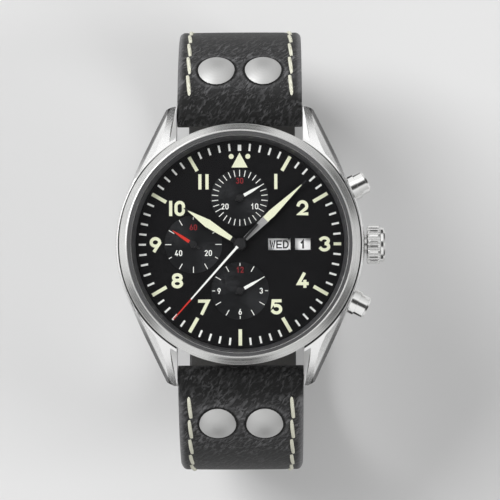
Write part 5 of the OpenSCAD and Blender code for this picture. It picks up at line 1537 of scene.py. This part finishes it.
def keeper(name, node, body):
    low, high = span(node)
    y = (low.y + high.y) / 2
    right, left = high.x - KEEPER_BEND, low.x + KEEPER_BEND
    top, bottom = high.z - KEEPER_BEND, low.z + KEEPER_BEND
    corners = [(right, top), (left, top), (left, bottom), (right, bottom)]
    verts, places, faces, kinds = [], [], [], []
    along, before = 0.0, None
    for quarter, corner in enumerate(corners):
        for a in [math.radians(90 * quarter + 10 * i) for i in range(10)]:
            out = Vector((math.cos(a), math.sin(a)))
            middle = Vector(corner) + (KEEPER_BEND - KEEPER_HALF_T) * out
            along += (middle - before).length if before else 0.0
            before = middle
            for v, u in KEEPER_SECTION:
                at = middle + KEEPER_HALF_T * u * out
                verts.append((at.x * MM, (y + KEEPER_HALF_W * v) * MM, at.y * MM))
                places.append((KEEPER_HALF_W * v, KEEPER_CUT_AT + along, KEEPER_HALF_T * u))
    n = len(KEEPER_SECTION)
    m = len(verts) // n
    for i in range(m):
        for j in range(n):
            k, i2 = (j + 1) % n, (i + 1) % m
            faces.append((i * n + j, i * n + k, i2 * n + k, i2 * n + j))
            kinds.append(KEEPER_KINDS[j])
    mesh = leather_mesh(name, verts, faces, kinds, places)
    mesh.shade_smooth()
    piece = put_mesh(name, mesh, [leather, edge_paint, lining], body)
    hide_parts(node)


keeper("fixed_keeper_leather", "fixed_keeper", "watch")
keeper("free_keeper_leather", "free_keeper", "free_keeper")
print("two keepers")

# %% [markdown]
# ## Pusher springs
# Under each pusher's cap sits a small coil spring, wound from round steel wire on a mandrel. The
# cap squeezes it at every press, and this coil stands still at its rest length, so a pressed cap
# cuts into it; the share of its length that it would keep is only printed. A spiral curve swept
# with a wire is all it takes in Geometry Nodes, from four named sizes.

# %% Pusher springs
PUSHER_ANGLE = math.radians(26.6)
PUSHER_TRAVEL = 1.0
SPRING_FOOT = 19.52
SPRING = {"Radius": 1.0, "Length": 2.71, "Turns": 4.0, "Wire": 0.2}


def spring_tree(material):
    tree = Growth("pusher_spring", SPRING)
    radius, length, turns, wire = tree.inputs
    coil = tree.add("GeometryNodeCurveSpiral", {}, {
        "Resolution": 24, "Rotations": turns, "Start Radius": radius * MM,
        "End Radius": radius * MM, "Height": (length - wire) * MM})
    tree.end(tree.sweep(coil, wire * (MM / 2)), material)
    return tree


def pusher_spring(tree, side, joint):
    name = joint.split("_")[0] + "_pusher_spring"
    low, high = span(name)
    axis = Vector((math.cos(PUSHER_ANGLE), side * math.sin(PUSHER_ANGLE), 0))
    foot = axis * SPRING_FOOT + Vector((0, 0, (low.z + high.z) / 2))
    mesh = tree.grow(name + "_coil", bpy.data.meshes.new(name + "_line"))
    start = foot + axis * (SPRING["Wire"] / 2)
    turn = Vector((0, 0, 1)).rotation_difference(axis).to_matrix().to_4x4()
    mesh.transform(Matrix.Translation(start * MM) @ turn)
    piece = put_mesh(name + "_coil", mesh, [])
    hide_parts(name)
    keep = 1 - PUSHER_TRAVEL / SPRING["Length"]
    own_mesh(piece)
    reach = [(p.co / MM).dot(axis) for p in mesh.vertices]
    print(piece.name, len(mesh.polygons), "faces,", round(min(reach), 2), "to",
          round(max(reach), 2), "mm out, keeps", round(keep, 3))


springs = spring_tree(turned_finish)
pusher_spring(springs, 1, "start_push")
pusher_spring(springs, -1, "reset_push")

# %% [markdown]
# ## Studio
# A product photographer puts the watch on a pale table and surrounds it with large white
# diffusers, because polished steel shows whatever is around it. Modelled walls would need many
# samples, so the studio is the world itself: a formula of the direction that a mirrored ray
# takes. It holds white walls that pale towards the upper left, low dark flags that set off the
# bezel and the lugs, a dark card round the lens that keeps flat steel and crystal clear, and the
# glow of the key lamp. Matt surfaces get a plain even fill instead. Two softboxes model their
# shapes and hide from reflections, so that no lamp is seen twice. The table top is round and not
# very wide, so that rays that leave the case low look past its rim at the walls.

# %% Studio
TABLE_R = 115.0
TABLE_GAP = 0.06
TABLE_DARK, TABLE_PALE = (0.65, 0.65, 0.65), (0.67, 0.67, 0.67)
WALLS, WALL_GAIN = 0.86, 0.24
FILL, CARD, KEY_GLOW = 0.42, 0.06, 2.8
FLAGS = {30: 0.85, 50: 0.3, 90: 0.92, 130: 0.15, 210: 0.8, 230: 0.12, 270: 0.92, 310: 0.1,
         330: 0.85}
FLAG_EDGES, FLAG_TOP = (19, 6), (0.1, 0.45)
LUG_SIDES = {24: 0.8, 156: 0.8, 204: 0.8, 336: 0.8}
LUG_SIDE_EDGES, LUG_SIDE_FOOT, LUG_SIDE_TOP = (22, 9), (-0.12, -0.05), (0.2, 0.5)
RIGHT_FLAG = 0.5
KEY_AT = (-420, 300, 520)


def pale_floor():
    floor = Finish("pale_floor", (0.66, 0.66, 0.66), 0.9, Specular_IOR_Level=0.1)
    cloud = floor.noise(floor.place(), 0.02, 2.0)
    floor.set("Base Color", floor.mix(cloud, TABLE_DARK, TABLE_PALE))
    return floor.material


def studio_floor():
    z = (FLOOR_Z - TABLE_GAP) * MM
    rim = [(x * MM, y * MM, z) for x, y in disc((0, 0), TABLE_R, 64)]
    mesh = bpy.data.meshes.new("studio_floor")
    mesh.from_pydata(rim, [], [tuple(range(len(rim)))])
    mesh.materials.append(pale_floor())
    floor = bpy.data.objects.new("studio_floor", mesh)
    scene.collection.objects.link(floor)


def studio_world():
    world = bpy.data.worlds.new("studio_world")
    world.use_nodes = True
    tree = Tree(world.node_tree)
    rays = tree.add("ShaderNodeLightPath").socket.node
    seen, glossy, through = [Out(tree, rays.outputs["Is " + kind + " Ray"])
                             for kind in ("Camera", "Glossy", "Transmission")]
    x, y, height = tree.xyz(tree.add("ShaderNodeTexCoord", out="Generated"))
    level = (x * x + y * y) ** 0.5 + 0.001
    walls = WALLS + tree.step(y * 0.5 - x * 0.8, -0.9, 0.7) * WALL_GAIN

    low = 1 - tree.step(height, *FLAG_TOP)
    beside_lugs = tree.step(height, *LUG_SIDE_FOOT) * (1 - tree.step(height, *LUG_SIDE_TOP))
    for flags, edges, band in ((FLAGS, FLAG_EDGES, low), (LUG_SIDES, LUG_SIDE_EDGES, beside_lugs)):
        for angle, depth in flags.items():
            a = math.radians(angle)
            facing = (x * math.cos(a) + y * math.sin(a)) / level
            flag = tree.step(facing, *[math.cos(math.radians(edge)) for edge in edges])
            walls = walls * (1 - flag * band * depth)
    right_side = tree.step(x, 0.1, 0.8) * tree.step(height, 0.0, 0.15)
    right_side = right_side * tree.step(abs(y) / level, 0.2, 0.5)
    walls = walls * (1 - right_side * (1 - tree.step(height, 0.7, 0.9)) * RIGHT_FLAG)

    kx, ky, kz = Vector(KEY_AT).normalized()
    lit = tree.step(x * kx + y * ky + height * kz, 0.9, 0.975)
    walls = walls + lit * KEY_GLOW
    mirrored = walls * (1 - tree.step(height, 0.9, 0.985) * (1 - CARD))
    white = seen.math("MAXIMUM", seen, through)
    strength = white + (1 - white) * (glossy * mirrored + (1 - glossy) * FILL)
    background = world.node_tree.nodes["Background"]
    background.inputs["Color"].default_value = (1, 1, 1, 1)
    world.node_tree.links.new(strength.socket, background.inputs["Strength"])
    scene.world = world


def softbox(name, at, size, power):
    """A square lamp aimed at the dial."""
    lamp = bpy.data.lights.new(name, "AREA")
    lamp.shape = "RECTANGLE"
    lamp.size = lamp.size_y = size * MM
    lamp.energy = power
    box = bpy.data.objects.new(name, lamp)
    at = Vector(at)
    turn = (-at).to_track_quat("-Z", "Y").to_matrix().to_4x4()
    box.matrix_world = Matrix.Translation(at * MM) @ turn
    box.visible_glossy = False
    scene.collection.objects.link(box)


studio_floor()
studio_world()
softbox("key_softbox", KEY_AT, 420, 5.0)
softbox("right_softbox", (480, -120, 380), 300, 1.6)
scene.view_settings.view_transform = "Standard"
print("studio lit")
